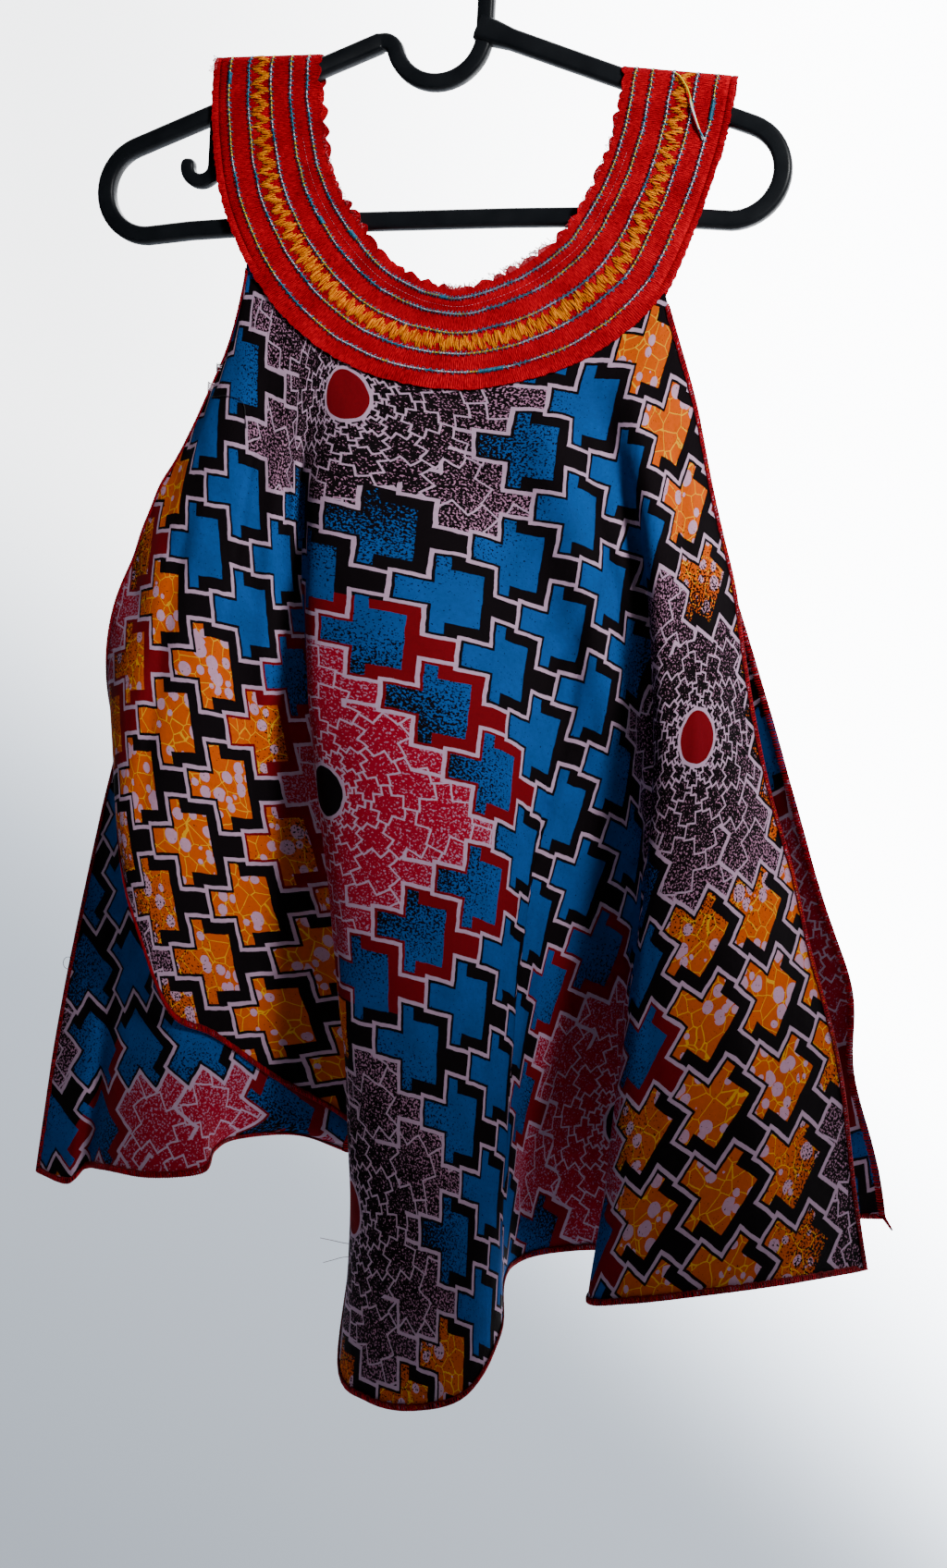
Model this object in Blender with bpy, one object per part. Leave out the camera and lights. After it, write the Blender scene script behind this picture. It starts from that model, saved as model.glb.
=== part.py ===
# A sleeveless dress hanging on a plastic hanger, at real size.
#
# The origin is the top of the space under the hanger's hook, where a rail carries it.
# +X is the viewer's right, -Y the front of the dress, +Z up. The tables are in millimetres.
# Every piece of cloth is a thin wall: its outer face is worked out first, as a grid of
# points, and its inner face lies one thickness behind.
import math
from collections import namedtuple

import bpy
from mathutils import Vector

MM = 0.001

FRONT = -1
BACK = 1

SEAM_GAP = 0.4
BODY_CLOTH = 1.2
YOKE_CLOTH = 1.6
EDGING_CLOTH = 1.2

# The yoke is one stiff band in the shape of a U. Each row is a rib across the band, from
# the edge that is sewn to the body, called outer, to the edge at the neck.
Rib = namedtuple("Rib", "name outer_x outer_z neck_x neck_z")
YOKE_RIBS = [
    Rib("left shoulder", -138, -101, -71, -101),
    Rib("left strap high", -138, -128, -70, -127),
    Rib("left strap middle", -135, -157, -65, -153),
    Rib("left strap low", -127, -192, -57, -177),
    Rib("left corner", -110, -227, -45, -197),
    Rib("left turn", -87, -257, -31, -214),
    Rib("left under", -60, -279, -15, -229),
    Rib("left bottom", -31, -293, 2, -238),
    Rib("middle left", -2, -300.5, 12, -241.5),
    Rib("middle", 30, -303, 23, -243),
    Rib("right bottom", 61, -298.5, 38, -239),
    Rib("right under", 93, -288, 56, -231),
    Rib("right turn", 120, -271, 72, -220),
    Rib("right corner", 143, -247, 84, -208),
    Rib("right strap low", 158, -212, 97, -184),
    Rib("right strap middle", 167, -183, 105, -162),
    Rib("right strap high", 174, -153, 109, -143),
    Rib("right shoulder", 178, -121, 112, -113.6),
]
LEFT_CORNER = 4
MIDDLE_RIB = 9
RIGHT_CORNER = 13
LAST_RIB = len(YOKE_RIBS) - 1

SHOULDER_ROUND = 9.0
SHOULDER_HALF_GAP = 0.15
YOKE_DEPTH = 6.85
YOKE_LEAN = 0.035
YOKE_LEAN_STARTS = -115.0

# The back of the yoke hangs a little to the left of the front of it.
BACK_SLIDE = 4.5
BACK_SLIDE_DROP = 95.0

# Shares of the band's width, from the outer edge to the neck.
BODY_TUCK = 0.10
CORD_ROWS = (0.16, 0.34, 0.55, 0.73, 0.885)
YOKE_ENDS = 0.93
EDGING_STARTS = 0.936
EDGING_MEAN = 0.995
SCALLOP = 0.022
SCALLOPS_PER_RIB = 2.4

CORD_WIDTH = 2.4
CORD_HEIGHT = 1.1
CORD_LIFT = 0.3
CORD_STARTS = 0.55

# Each row is a line down the cloth from the yoke's seam to the lower edge: a ridge, a
# valley or the side of a fold. Seam is its share of the seam from the left corner to the
# right one. Upper and lower are a third and two thirds of the way down. Y is depth.
Fold = namedtuple("Fold", "name seam upper_x upper_y lower_x lower_y hem_x hem_y hem_z")
FRONT_FOLDS = [
    Fold("left edge", 0.00, -140, -2.2, -181, -3, -178, -5, -511),
    Fold("left lobe side", 0.05, -138, -12, -163, -24, -161, -34, -585),
    Fold("left lobe ridge", 0.09, -126, -18, -146, -32, -141, -46, -629),
    Fold("left lobe slope", 0.13, -109, -18, -121, -32, -120, -44, -674),
    Fold("left slope", 0.17, -96, -14, -101, -20, -98, -26, -688),
    Fold("left recess", 0.205, -83, -10, -81, -7, -70, -5, -711),
    Fold("left valley", 0.235, -70, -8, -46, 3, -16, 12, -745),
    Fold("tube left side", 0.265, -60, -13, -24, -16, -6, -25, -793),
    Fold("tube left", 0.30, -48, -30, -15, -48, -2, -58, -862),
    Fold("tube left front", 0.34, -28, -42, 0, -64, 22, -80, -874),
    Fold("tube front", 0.38, -1, -48, 27, -72, 52, -90, -873),
    Fold("tube right front", 0.44, 31, -46, 57, -68, 79, -83, -863),
    Fold("tube right", 0.50, 60, -36, 79, -50, 90, -56, -836),
    Fold("tube right side", 0.56, 78, -26, 87, -28, 82, -22, -815),
    Fold("recess left", 0.615, 94, -18, 95, -8, 85, 6, -808),
    Fold("recess middle", 0.67, 111, -14, 112, 2, 105, 15, -802),
    Fold("recess right", 0.72, 126, -13, 136, 2, 137, 14, -798),
    Fold("right lobe side", 0.765, 137, -17, 150, -15, 144, -33, -802),
    Fold("right lobe left", 0.81, 146, -28, 151, -46, 140, -66, -810),
    Fold("right lobe front", 0.855, 156, -36, 165, -60, 164, -84, -804),
    Fold("right lobe middle", 0.90, 168, -36, 190, -61, 200, -86, -796),
    Fold("right lobe right", 0.95, 181, -24, 218, -42, 244, -62, -790),
    Fold("right edge", 1.00, 194, -2.2, 243, -7, 285, -12, -788),
]
BACK_FOLDS = [
    Fold("left edge", 0.00, -150, 3, -184, 8, -204, 12, -742),
    Fold("lobe 1 left", 0.08, -148, 18, -166, 38, -186, 52, -744),
    Fold("lobe 1 right", 0.16, -118, 22, -130, 44, -148, 64, -746),
    Fold("valley 1", 0.25, -88, 14, -98, 22, -112, 30, -748),
    Fold("lobe 2 left", 0.33, -62, 24, -72, 48, -86, 66, -756),
    Fold("lobe 2 right", 0.42, -32, 32, -38, 64, -44, 94, -765),
    Fold("valley 2", 0.50, -4, 20, -4, 30, -4, 38, -775),
    Fold("lobe 3 left", 0.58, 24, 32, 30, 62, 36, 92, -785),
    Fold("lobe 3 right", 0.66, 56, 34, 70, 66, 84, 98, -790),
    Fold("valley 3", 0.74, 88, 18, 106, 26, 122, 38, -790),
    Fold("lobe 4 left", 0.82, 118, 26, 142, 50, 166, 72, -785),
    Fold("lobe 4 right", 0.91, 154, 20, 196, 38, 236, 56, -775),
    Fold("right edge", 1.00, 192, 3, 250, 6, 292, 10, -763),
]

# The lower left of the front is a piece of its own. Its top is sewn behind the front's
# slanting lower edge. Under is how far behind the front it hangs there, and fold is the
# row of the front that it starts from.
Gore = namedtuple("Gore", "name fold under mid_x mid_y mid_z hem_x hem_y hem_z")
GORE_FOLDS = [
    Gore("outer edge", 0.0, 2.5, -206, 2, -662, -219, 0, -783),
    Gore("small lobe", 0.5, 7.0, -183, -8, -667, -192, -15, -785),
    Gore("tuck", 0.9, 11.0, -172, -10, -676, -183, -9, -776),
    Gore("lobe left", 1.4, 14.0, -157, -22, -689, -161, -32, -771),
    Gore("lobe front", 2.2, 13.0, -133, -33, -710, -126, -47, -770),
    Gore("lobe right", 3.2, 7.0, -109, -34, -722, -95, -42, -765),
    Gore("side", 4.0, 3.0, -96, -22, -724, -98, -16, -757),
    Gore("recess left", 4.6, 1.7, -84, -9, -731, -89, -2, -751),
    Gore("recess", 5.3, 1.7, -57, 2, -739, -53, 7, -747),
    Gore("valley", 5.9, 1.7, -24, 13, -749, -25, 16, -755),
]
GORE_TOP = 0.93

FRONT_COLUMNS_PER_FOLD = 3
BACK_COLUMNS_PER_FOLD = 3
GORE_COLUMNS_PER_FOLD = 2
FRONT_ROWS = 13
BACK_ROWS = 11
GORE_ROWS = 6

# The hanger is a moulded bar that is taller than it is thick. It tilts, so that its right
# end is higher by this share of the way along it.
BAR_HALF_DEPTH = 4.4
STEM_HALF = 5.0
ARM_HALF = 6.0
RAIL_HALF = 5.0
BAR_SIDES = 10
HOOK_RADIUS = 27.5
HOOK_MIDDLE_Z = STEM_HALF - HOOK_RADIUS
HOOK_TIP_ANGLE = 215
STEM_FOOT_Z = -92.4
DIP_RADIUS = 27.5
ARM_ROOT = (34.0, -92.7)
ARM_SLOPE = 0.384
SHOULDER_X = -33.7
SHOULDER_Z = -101.0
SHOULDER_RADIUS = 7.5
LOOP_X = 178.0
LOOP_Z = -178.0
LOOP_RADIUS = 28.0
RAIL_Z = -201.0
INNER_HOOK_X = 145.0
INNER_HOOK_Z = -165.0
INNER_HOOK_RADIUS = 8.8
INNER_HOOK_HALF = 4.2
INNER_HOOK_TURN = -190
TILT = 0.014


def clear_scene():
    for item in list(bpy.data.objects):
        bpy.data.objects.remove(item)


def finish(name, colour, roughness, metallic=0.0):
    material = bpy.data.materials.new(name)
    material.use_nodes = True
    shader = material.node_tree.nodes["Principled BSDF"]
    shader.inputs["Base Color"].default_value = (*colour, 1.0)
    shader.inputs["Roughness"].default_value = roughness
    shader.inputs["Metallic"].default_value = metallic
    return material


def along(values, place):
    """The value at a place on a smooth curve through evenly numbered values."""
    last = len(values) - 1
    start = min(max(int(math.floor(place)), 0), last - 1)
    u = place - start
    one, two = values[start], values[start + 1]
    before = values[start - 1] if start > 0 else one * 2 - two
    after = values[start + 2] if start + 2 <= last else two * 2 - one
    return (
        one * 2
        + (two - before) * u
        + (before * 2 - one * 5 + two * 4 - after) * u**2
        + (one * 3 - before - two * 3 + after) * u**3
    ) * 0.5


def column(rows, name):
    return [getattr(row, name) for row in rows]


def down_the_cloth(top, upper, lower, hem, t):
    """A smooth line through four places, at 0, a third, two thirds and 1 of the way."""
    a, b, c, d = t, t - 1 / 3, t - 2 / 3, t - 1
    return (
        top * (-4.5 * b * c * d)
        + upper * (13.5 * a * c * d)
        + lower * (-13.5 * a * b * d)
        + hem * (4.5 * a * b * c)
    )


def yoke_flat(place, across):
    outer = Vector((along(column(YOKE_RIBS, "outer_x"), place), along(column(YOKE_RIBS, "outer_z"), place)))
    neck = Vector((along(column(YOKE_RIBS, "neck_x"), place), along(column(YOKE_RIBS, "neck_z"), place)))
    return outer.lerp(neck, across)


def yoke_depth(place, across, z):
    """How far the band hangs from the middle plane: it rounds over the hanger at the top."""
    shoulder = YOKE_RIBS[0] if place < MIDDLE_RIB else YOKE_RIBS[LAST_RIB]
    top = shoulder.outer_z + (shoulder.neck_z - shoulder.outer_z) * across
    fallen = min(max(top - z, 0.0) / SHOULDER_ROUND, 1.0)
    lean = max(YOKE_LEAN_STARTS - z, 0.0) * YOKE_LEAN
    return SHOULDER_HALF_GAP + (YOKE_DEPTH + lean) * math.sqrt(1 - (1 - fallen) ** 2)


def yoke_point(side, place, across, behind=0.0):
    x, z = yoke_flat(place, across)
    if side == BACK:
        fallen = min(max((YOKE_RIBS[0].outer_z - z) / BACK_SLIDE_DROP, 0.0), 1.0)
        x -= BACK_SLIDE * fallen
    return Vector((x, side * (yoke_depth(place, across, z) - behind), z))


def yoke_places():
    """Places along the band, close together where it rounds over the shoulders."""
    shoulder = [0.0, 0.03, 0.1, 0.2, 0.34, 0.6]
    middle = [1 + step / 3 for step in range((LAST_RIB - 2) * 3 + 1)]
    return shoulder + middle + [LAST_RIB - step for step in reversed(shoulder)]


def seam_place(share, first, last, steps=120):
    """The place on the yoke's outer edge at a share of its length between two ribs."""
    places = [first + (last - first) * step / steps for step in range(steps + 1)]
    edge = [yoke_flat(place, 0.0) for place in places]
    lengths = [0.0]
    for here, there in zip(edge, edge[1:]):
        lengths.append(lengths[-1] + (there - here).length)
    wanted = share * lengths[-1]
    for step in range(steps):
        if lengths[step + 1] >= wanted:
            part = (wanted - lengths[step]) / (lengths[step + 1] - lengths[step])
            return places[step] + part * (places[step + 1] - places[step])
    return last


def body_top(side, share, across):
    """A point of the body's cloth behind the yoke, at a share of the seam."""
    place = seam_place(share, LEFT_CORNER, RIGHT_CORNER)
    return yoke_point(side, place, across, behind=YOKE_CLOTH + SEAM_GAP)


def body_point(side, folds, fold, t):
    """A point of a body panel: fold is a place in the table, t goes down from the seam."""
    share = min(max(along(column(folds, "seam"), fold), 0.0), 1.0)
    top = body_top(side, share, 0.0)
    hem_z = along(column(folds, "hem_z"), fold)
    levels = [top]
    for level, part in (("upper", 1 / 3), ("lower", 2 / 3), ("hem", 1.0)):
        x = along(column(folds, level + "_x"), fold)
        y = along(column(folds, level + "_y"), fold)
        levels.append(Vector((x, y, top.z + (hem_z - top.z) * part)))
    return down_the_cloth(*levels, t)


def body_grid(side, folds, columns_per_fold, rows):
    count = (len(folds) - 1) * columns_per_fold
    places = [step / columns_per_fold for step in range(count + 1)]
    tuck = [body_top(side, min(max(along(column(folds, "seam"), p), 0.0), 1.0), BODY_TUCK) for p in places]
    grid = [tuck]
    for row in range(rows + 1):
        grid.append([body_point(side, folds, place, row / rows) for place in places])
    return grid


def outward(grid, row, col):
    """The way that a grid's outer face looks, with its rows going down."""
    rows, cols = len(grid), len(grid[0])
    right = grid[row][min(col + 1, cols - 1)] - grid[row][max(col - 1, 0)]
    down = grid[min(row + 1, rows - 1)][col] - grid[max(row - 1, 0)][col]
    return down.cross(right).normalized()


def front_behind(fold, t, distance):
    """A point behind the front panel, straight back from its outer face."""
    step = 0.02
    here = body_point(FRONT, FRONT_FOLDS, fold, t)
    right = body_point(FRONT, FRONT_FOLDS, fold + step, t) - body_point(FRONT, FRONT_FOLDS, fold - step, t)
    down = here - body_point(FRONT, FRONT_FOLDS, fold, t - step)
    return here - down.cross(right).normalized() * distance


def gore_grid():
    count = (len(GORE_FOLDS) - 1) * GORE_COLUMNS_PER_FOLD
    places = [step / GORE_COLUMNS_PER_FOLD for step in range(count + 1)]
    grid = [[] for row in range(GORE_ROWS + 2)]
    for place in places:
        fold = min(max(along(column(GORE_FOLDS, "fold"), place), 0.02), 5.95)
        under = along(column(GORE_FOLDS, "under"), place)
        edge = front_behind(fold, 1.0, under)
        mid = Vector([along(column(GORE_FOLDS, "mid_" + axis), place) for axis in "xyz"])
        hem = Vector([along(column(GORE_FOLDS, "hem_" + axis), place) for axis in "xyz"])
        grid[0].append(front_behind(fold, GORE_TOP, under))
        for row in range(GORE_ROWS + 1):
            t = row / GORE_ROWS
            point = edge * ((1 - t) * (1 - 2 * t)) + mid * (4 * t * (1 - t)) + hem * (t * (2 * t - 1))
            grid[row + 1].append(point)
    return grid


def make_object(name, points, faces, material, smooth=True):
    mesh = bpy.data.meshes.new(name)
    mesh.from_pydata([point * MM for point in points], [], faces)
    mesh.materials.append(material)
    if smooth:
        mesh.shade_smooth()
        mesh.set_sharp_from_angle(angle=math.radians(40))
    item = bpy.data.objects.new(name, mesh)
    bpy.context.scene.collection.objects.link(item)
    return item


def wall(name, grid, thickness, material, keep_side=0):
    """A thin closed wall behind a grid whose rows go down and columns go to the right."""
    rows, cols = len(grid), len(grid[0])
    points = [point for line in grid for point in line]
    for row in range(rows):
        for col in range(cols):
            inner = grid[row][col] - outward(grid, row, col) * thickness
            if keep_side and inner.y * keep_side < SHOULDER_HALF_GAP:
                inner.y = SHOULDER_HALF_GAP * keep_side
            points.append(inner)
    inside = rows * cols
    faces = []
    for row in range(rows - 1):
        for col in range(cols - 1):
            a = row * cols + col
            b, c, d = a + 1, a + cols + 1, a + cols
            faces.append((a, d, c, b))
            faces.append((a + inside, b + inside, c + inside, d + inside))
    for col in range(cols - 1):
        a, b = col, col + 1
        faces.append((a, b, b + inside, a + inside))
        d, c = (rows - 1) * cols + col, (rows - 1) * cols + col + 1
        faces.append((c, d, d + inside, c + inside))
    for row in range(rows - 1):
        a, d = row * cols, (row + 1) * cols
        faces.append((d, a, a + inside, d + inside))
        b, c = a + cols - 1, d + cols - 1
        faces.append((b, c, c + inside, b + inside))
    return make_object(name, points, faces, material)


def facing(side, grid):
    """Puts a grid's columns in the order that looks outward on its side of the dress."""
    return grid if side == FRONT else [list(reversed(line)) for line in grid]


def make_yoke(side, name, material):
    shares = [YOKE_ENDS * (1 - step / 4) for step in range(5)]
    grid = [[yoke_point(side, place, share) for place in yoke_places()] for share in shares]
    return wall(name, facing(side, grid), YOKE_CLOTH, material, keep_side=side)


def make_edging(side, name, material):
    """The narrow scalloped edge at the neck, two columns to a scallop."""
    count = round(LAST_RIB * SCALLOPS_PER_RIB) * 2
    places = [CORD_STARTS + (LAST_RIB - 2 * CORD_STARTS) * step / count for step in range(count + 1)]
    crest = [EDGING_MEAN + SCALLOP * (-1) ** step for step in range(count + 1)]
    behind = (YOKE_CLOTH - EDGING_CLOTH) / 2
    inner = [yoke_point(side, place, share, behind) for place, share in zip(places, crest)]
    outer = [yoke_point(side, place, EDGING_STARTS, behind) for place in places]
    return wall(name, facing(side, [inner, outer]), EDGING_CLOTH, material)


def make_cord(side, name, share, material):
    """A cord that lies on the yoke: a low ridge with three sides."""
    count = (LAST_RIB - 1) * 2
    places = [CORD_STARTS + (LAST_RIB - 2 * CORD_STARTS) * step / count for step in range(count + 1)]
    middle = [yoke_point(side, place, share, -CORD_LIFT) for place in places]
    points = []
    for step, point in enumerate(middle):
        way = middle[min(step + 1, count)] - middle[max(step - 1, 0)]
        aside = Vector((way.z, 0, -way.x)).normalized() * (CORD_WIDTH / 2)
        points += [point - aside, point + aside, point + Vector((0, side * CORD_HEIGHT, 0))]
    faces = [(0, 1, 2), (3 * count + 2, 3 * count + 1, 3 * count)]
    for step in range(count):
        for corner in range(3):
            a, b = 3 * step + corner, 3 * step + (corner + 1) % 3
            faces.append((a, a + 3, b + 3, b))
    if side == BACK:
        faces = [tuple(reversed(face)) for face in faces]
    return make_object(name, points, faces, material)


def arc(centre_x, centre_z, radius, start, end, steps):
    """Points round a circle in the hanger's plane, angles in degrees from +X."""
    turns = [math.radians(start + (end - start) * step / steps) for step in range(steps + 1)]
    return [(centre_x + radius * math.cos(a), centre_z + radius * math.sin(a)) for a in turns]


def hanger_route():
    """The hanger's long run, from the right arm round to the hook, with its half height."""
    slope = math.degrees(math.atan(ARM_SLOPE))
    route = [(*ARM_ROOT, ARM_HALF), (100.0, ARM_ROOT[1] - ARM_SLOPE * (100.0 - ARM_ROOT[0]), ARM_HALF)]
    right_loop = arc(LOOP_X, LOOP_Z, LOOP_RADIUS, 90 - slope, -90, 9)
    route += [(x, z, RAIL_HALF + 0.4) for x, z in right_loop]
    rail = [(150.0, LOOP_Z - LOOP_RADIUS + 2.4), (105.0, RAIL_Z - 0.8), (50.0, RAIL_Z)]
    rail += [(-x, z) for x, z in reversed(rail)]
    route += [(x, z, RAIL_HALF) for x, z in rail]
    route += [(-x, z, RAIL_HALF + 0.4) for x, z in reversed(right_loop)]
    route.append((-100.0, ARM_ROOT[1] - ARM_SLOPE * (100.0 - ARM_ROOT[0]), ARM_HALF))
    shoulder = arc(SHOULDER_X, SHOULDER_Z, SHOULDER_RADIUS, 90 + slope, 16, 5)
    route += [(x, z, STEM_HALF + 0.3) for x, z in shoulder]
    dip = arc(0.0, STEM_FOOT_Z, DIP_RADIUS, 196, 360, 10)
    route += [(x, z, STEM_HALF) for x, z in dip]
    hook = arc(0.0, HOOK_MIDDLE_Z, HOOK_RADIUS, 0, HOOK_TIP_ANGLE, 12)
    return route + [(x, z, STEM_HALF) for x, z in hook]


def make_bar(name, route, material, half_depth):
    """A bar with an oval section along a route of x, z and half height."""
    rings = []
    for step, (x, z, half) in enumerate(route):
        before, after = route[max(step - 1, 0)], route[min(step + 1, len(route) - 1)]
        way = Vector((after[0] - before[0], 0, after[1] - before[1])).normalized()
        up = Vector((-way.z, 0, way.x))
        for side in range(BAR_SIDES):
            turn = math.tau * (side + 0.5) / BAR_SIDES
            rings.append(
                Vector((x, half_depth * math.sin(turn), z + TILT * x)) + up * (half * math.cos(turn))
            )
    last = (len(route) - 1) * BAR_SIDES
    faces = [tuple(range(BAR_SIDES)), tuple(last + side for side in reversed(range(BAR_SIDES)))]
    for step in range(len(route) - 1):
        for side in range(BAR_SIDES):
            a = step * BAR_SIDES + side
            b = step * BAR_SIDES + (side + 1) % BAR_SIDES
            faces.append((a, a + BAR_SIDES, b + BAR_SIDES, b))
    return make_object(name, rings, faces, material)


def join_to(body, extra):
    """Makes a hidden piece one solid with the body."""
    extra.hide_render = True
    extra.display_type = "WIRE"
    union = body.modifiers.new("join " + extra.name, "BOOLEAN")
    union.operation = "UNION"
    union.solver = "EXACT"
    union.object = extra


def make_hanger(material):
    hanger = make_bar("hanger", hanger_route(), material, BAR_HALF_DEPTH)
    root_x, root_z = ARM_ROOT
    root = [(root_x + step, root_z - ARM_SLOPE * step, half) for step, half in ((-10, 7.6), (0, 7.4), (10, 6.3))]
    join_to(hanger, make_bar("arm root", root, material, BAR_HALF_DEPTH - 0.2))
    for side, name in ((-1, "left inner hook"), (1, "right inner hook")):
        curl = arc(0, INNER_HOOK_Z, INNER_HOOK_RADIUS, 0, INNER_HOOK_TURN, 8)
        reach = INNER_HOOK_X - INNER_HOOK_RADIUS
        top = ARM_ROOT[1] - ARM_SLOPE * (reach - ARM_ROOT[0])
        route = [(side * reach, top, INNER_HOOK_HALF)]
        route += [(side * (INNER_HOOK_X - x), z, INNER_HOOK_HALF) for x, z in curl]
        join_to(hanger, make_bar(name, route, material, INNER_HOOK_HALF - 0.3))


def make_dress():
    red = finish("red yoke cloth", (0.55, 0.005, 0.008), 0.7)
    print_cloth = finish("printed cotton", (0.03, 0.12, 0.32), 0.75)
    pieced = finish("printed cotton, pieced", (0.75, 0.20, 0.02), 0.75)
    cord = finish("tinsel cord", (0.02, 0.25, 0.35), 0.35, 0.4)
    for side, word in ((FRONT, "front"), (BACK, "back")):
        make_yoke(side, word + "_yoke", red)
        make_edging(side, word + "_neck_edging", red)
        for number, share in enumerate(CORD_ROWS, 1):
            make_cord(side, f"{word}_cord_{number}", share, cord)
    front = body_grid(FRONT, FRONT_FOLDS, FRONT_COLUMNS_PER_FOLD, FRONT_ROWS)
    wall("front_panel", front, BODY_CLOTH, print_cloth)
    back = body_grid(BACK, BACK_FOLDS, BACK_COLUMNS_PER_FOLD, BACK_ROWS)
    wall("back_panel", facing(BACK, back), BODY_CLOTH, print_cloth)
    wall("left_gore", gore_grid(), BODY_CLOTH, pieced)


clear_scene()
make_hanger(finish("black plastic", (0.008, 0.009, 0.011), 0.42))
make_dress()
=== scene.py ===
import math
from collections import namedtuple

import bpy
import numpy as np
from mathutils import Matrix, Vector


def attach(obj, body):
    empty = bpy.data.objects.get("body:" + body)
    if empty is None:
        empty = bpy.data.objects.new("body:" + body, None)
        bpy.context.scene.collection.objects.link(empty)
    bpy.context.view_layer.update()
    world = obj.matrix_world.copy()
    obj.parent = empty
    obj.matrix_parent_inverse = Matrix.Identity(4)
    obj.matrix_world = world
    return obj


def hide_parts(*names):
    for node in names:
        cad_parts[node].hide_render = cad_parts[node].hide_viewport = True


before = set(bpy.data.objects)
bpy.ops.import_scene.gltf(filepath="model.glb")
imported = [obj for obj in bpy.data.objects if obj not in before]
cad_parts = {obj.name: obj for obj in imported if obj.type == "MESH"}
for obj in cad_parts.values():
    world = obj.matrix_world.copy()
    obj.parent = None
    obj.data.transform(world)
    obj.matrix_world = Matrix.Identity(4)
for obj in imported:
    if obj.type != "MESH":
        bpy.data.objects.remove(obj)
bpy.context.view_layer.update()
MM = 0.001

# %% [markdown]
# ## The camera
#
# The photograph was taken a little from the right of the dress, level with its middle, with a
# small roll. A 50 mm lens on a 36 mm sensor fits the hanger's outline.
# %% Place the camera
CAMERA_TURN = math.radians(14)
CAMERA_ROLL = math.radians(3)
CAMERA_PLACE = Vector((0.3522, -1.2355, -0.5316))
LENS = 50
SENSOR = 36


def place_camera():
    right = Vector((math.cos(CAMERA_TURN), math.sin(CAMERA_TURN), 0))
    forward = Vector((-math.sin(CAMERA_TURN), math.cos(CAMERA_TURN), 0))
    up = Vector((0, 0, 1))
    rolled_right = right * math.cos(CAMERA_ROLL) + up * math.sin(CAMERA_ROLL)
    rolled_up = up * math.cos(CAMERA_ROLL) - right * math.sin(CAMERA_ROLL)
    camera = bpy.data.objects.new("camera", bpy.data.cameras.new("camera"))
    camera.data.lens = LENS
    camera.data.sensor_width = SENSOR
    axes = Matrix((rolled_right, rolled_up, -forward)).transposed()
    camera.matrix_world = Matrix.Translation(CAMERA_PLACE) @ axes.to_4x4()
    bpy.context.scene.collection.objects.link(camera)
    bpy.context.scene.camera = camera
    return camera


camera = place_camera()
print("camera at", tuple(camera.location))

# %% [markdown]
# ## Colours and nodes
#
# Colours are written as sRGB hex values, as in a paint program. Blender's shaders work in
# linear light, so one function converts them. Another adds a node, sets it and joins it.
# %% Helpers for materials


def colour(code):
    """An sRGB hex value in linear light, with an alpha of 1."""
    parts = [int(code[at : at + 2], 16) / 255 for at in (1, 3, 5)]
    linear = [p / 12.92 if p <= 0.04045 else ((p + 0.055) / 1.055) ** 2.4 for p in parts]
    return (*linear, 1.0)


def add_node(tree, kind, inputs=(), **settings):
    """Adds one node. Each input is a node, a socket or a plain value; None leaves it alone."""
    node = tree.nodes.new("ShaderNode" + kind)
    for name, value in settings.items():
        setattr(node, name, value)
    pairs = inputs.items() if isinstance(inputs, dict) else enumerate(inputs)
    for key, value in pairs:
        if isinstance(value, bpy.types.Node):
            value = value.outputs[0]
        if isinstance(value, bpy.types.NodeSocket):
            tree.links.new(value, node.inputs[key])
        elif value is not None:
            node.inputs[key].default_value = value
    return node


def new_material(name, roughness, **sockets):
    """A material with its plain sockets set. Gives the material, its tree and its shader."""
    material = bpy.data.materials.new(name)
    material.use_nodes = True
    shader = material.node_tree.nodes["Principled BSDF"]
    shader.inputs["Roughness"].default_value = roughness
    for socket, value in sockets.items():
        shader.inputs[socket.replace("_", " ")].default_value = value
    return material, material.node_tree, shader


print("half grey is", round(colour("#808080")[0], 3), "in linear light")

# %% [markdown]
# ## Smooth curves through a table
#
# A maker thinks of hanging cloth as a few ridges and valleys. Each is a row of a table, and
# a smooth curve runs through the rows. The same rows gave the CAD solids, so the thin
# cloth made here lies exactly on them.
# %% Curves


def along(values, places):
    """The values at places on a smooth curve through evenly numbered values."""
    values, places = np.asarray(values, float), np.asarray(places, float)
    last = len(values) - 1
    start = np.clip(np.floor(places).astype(int), 0, last - 1)
    u = places - start
    one, two = values[start], values[start + 1]
    before = np.where(start > 0, values[np.maximum(start - 1, 0)], one * 2 - two)
    after = np.where(start + 2 <= last, values[np.minimum(start + 2, last)], two * 2 - one)
    bend = before * 2 - one * 5 + two * 4 - after
    twist = one * 3 - before - two * 3 + after
    return (one * 2 + (two - before) * u + bend * u**2 + twist * u**3) * 0.5


def column(rows, name):
    """One named column of a table."""
    return [getattr(row, name) for row in rows]


def smooth_step(value, start, end):
    """0 up to start and 1 from end on, with a soft rise between them."""
    share = np.clip((value - start) / (end - start), 0, 1)
    return share * share * (3 - 2 * share)


print("a curve through 0, 1 and 4 is at", round(float(along([0, 1, 4], 1.5)), 2), "half way from 1 to 4")

# %% [markdown]
# ## The yoke's shape
#
# The yoke is one stiff band in the shape of a U, front and back. Each rib runs across the
# band, from the edge that is sewn to the body to the edge at the neck. At the shoulders the
# band rounds over the hanger.
# %% The yoke's table
FRONT = -1
BACK = 1
SIDES = ((FRONT, "front"), (BACK, "back"))
SEAM_GAP = 0.4
YOKE_CLOTH = 1.6
SHOULDER_ROUND = 9.0
SHOULDER_HALF_GAP = 0.15
YOKE_DEPTH = 6.85
YOKE_LEAN = 0.035
YOKE_LEAN_STARTS = -115.0
BACK_SLIDE = 4.5
BACK_SLIDE_DROP = 95.0

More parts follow.
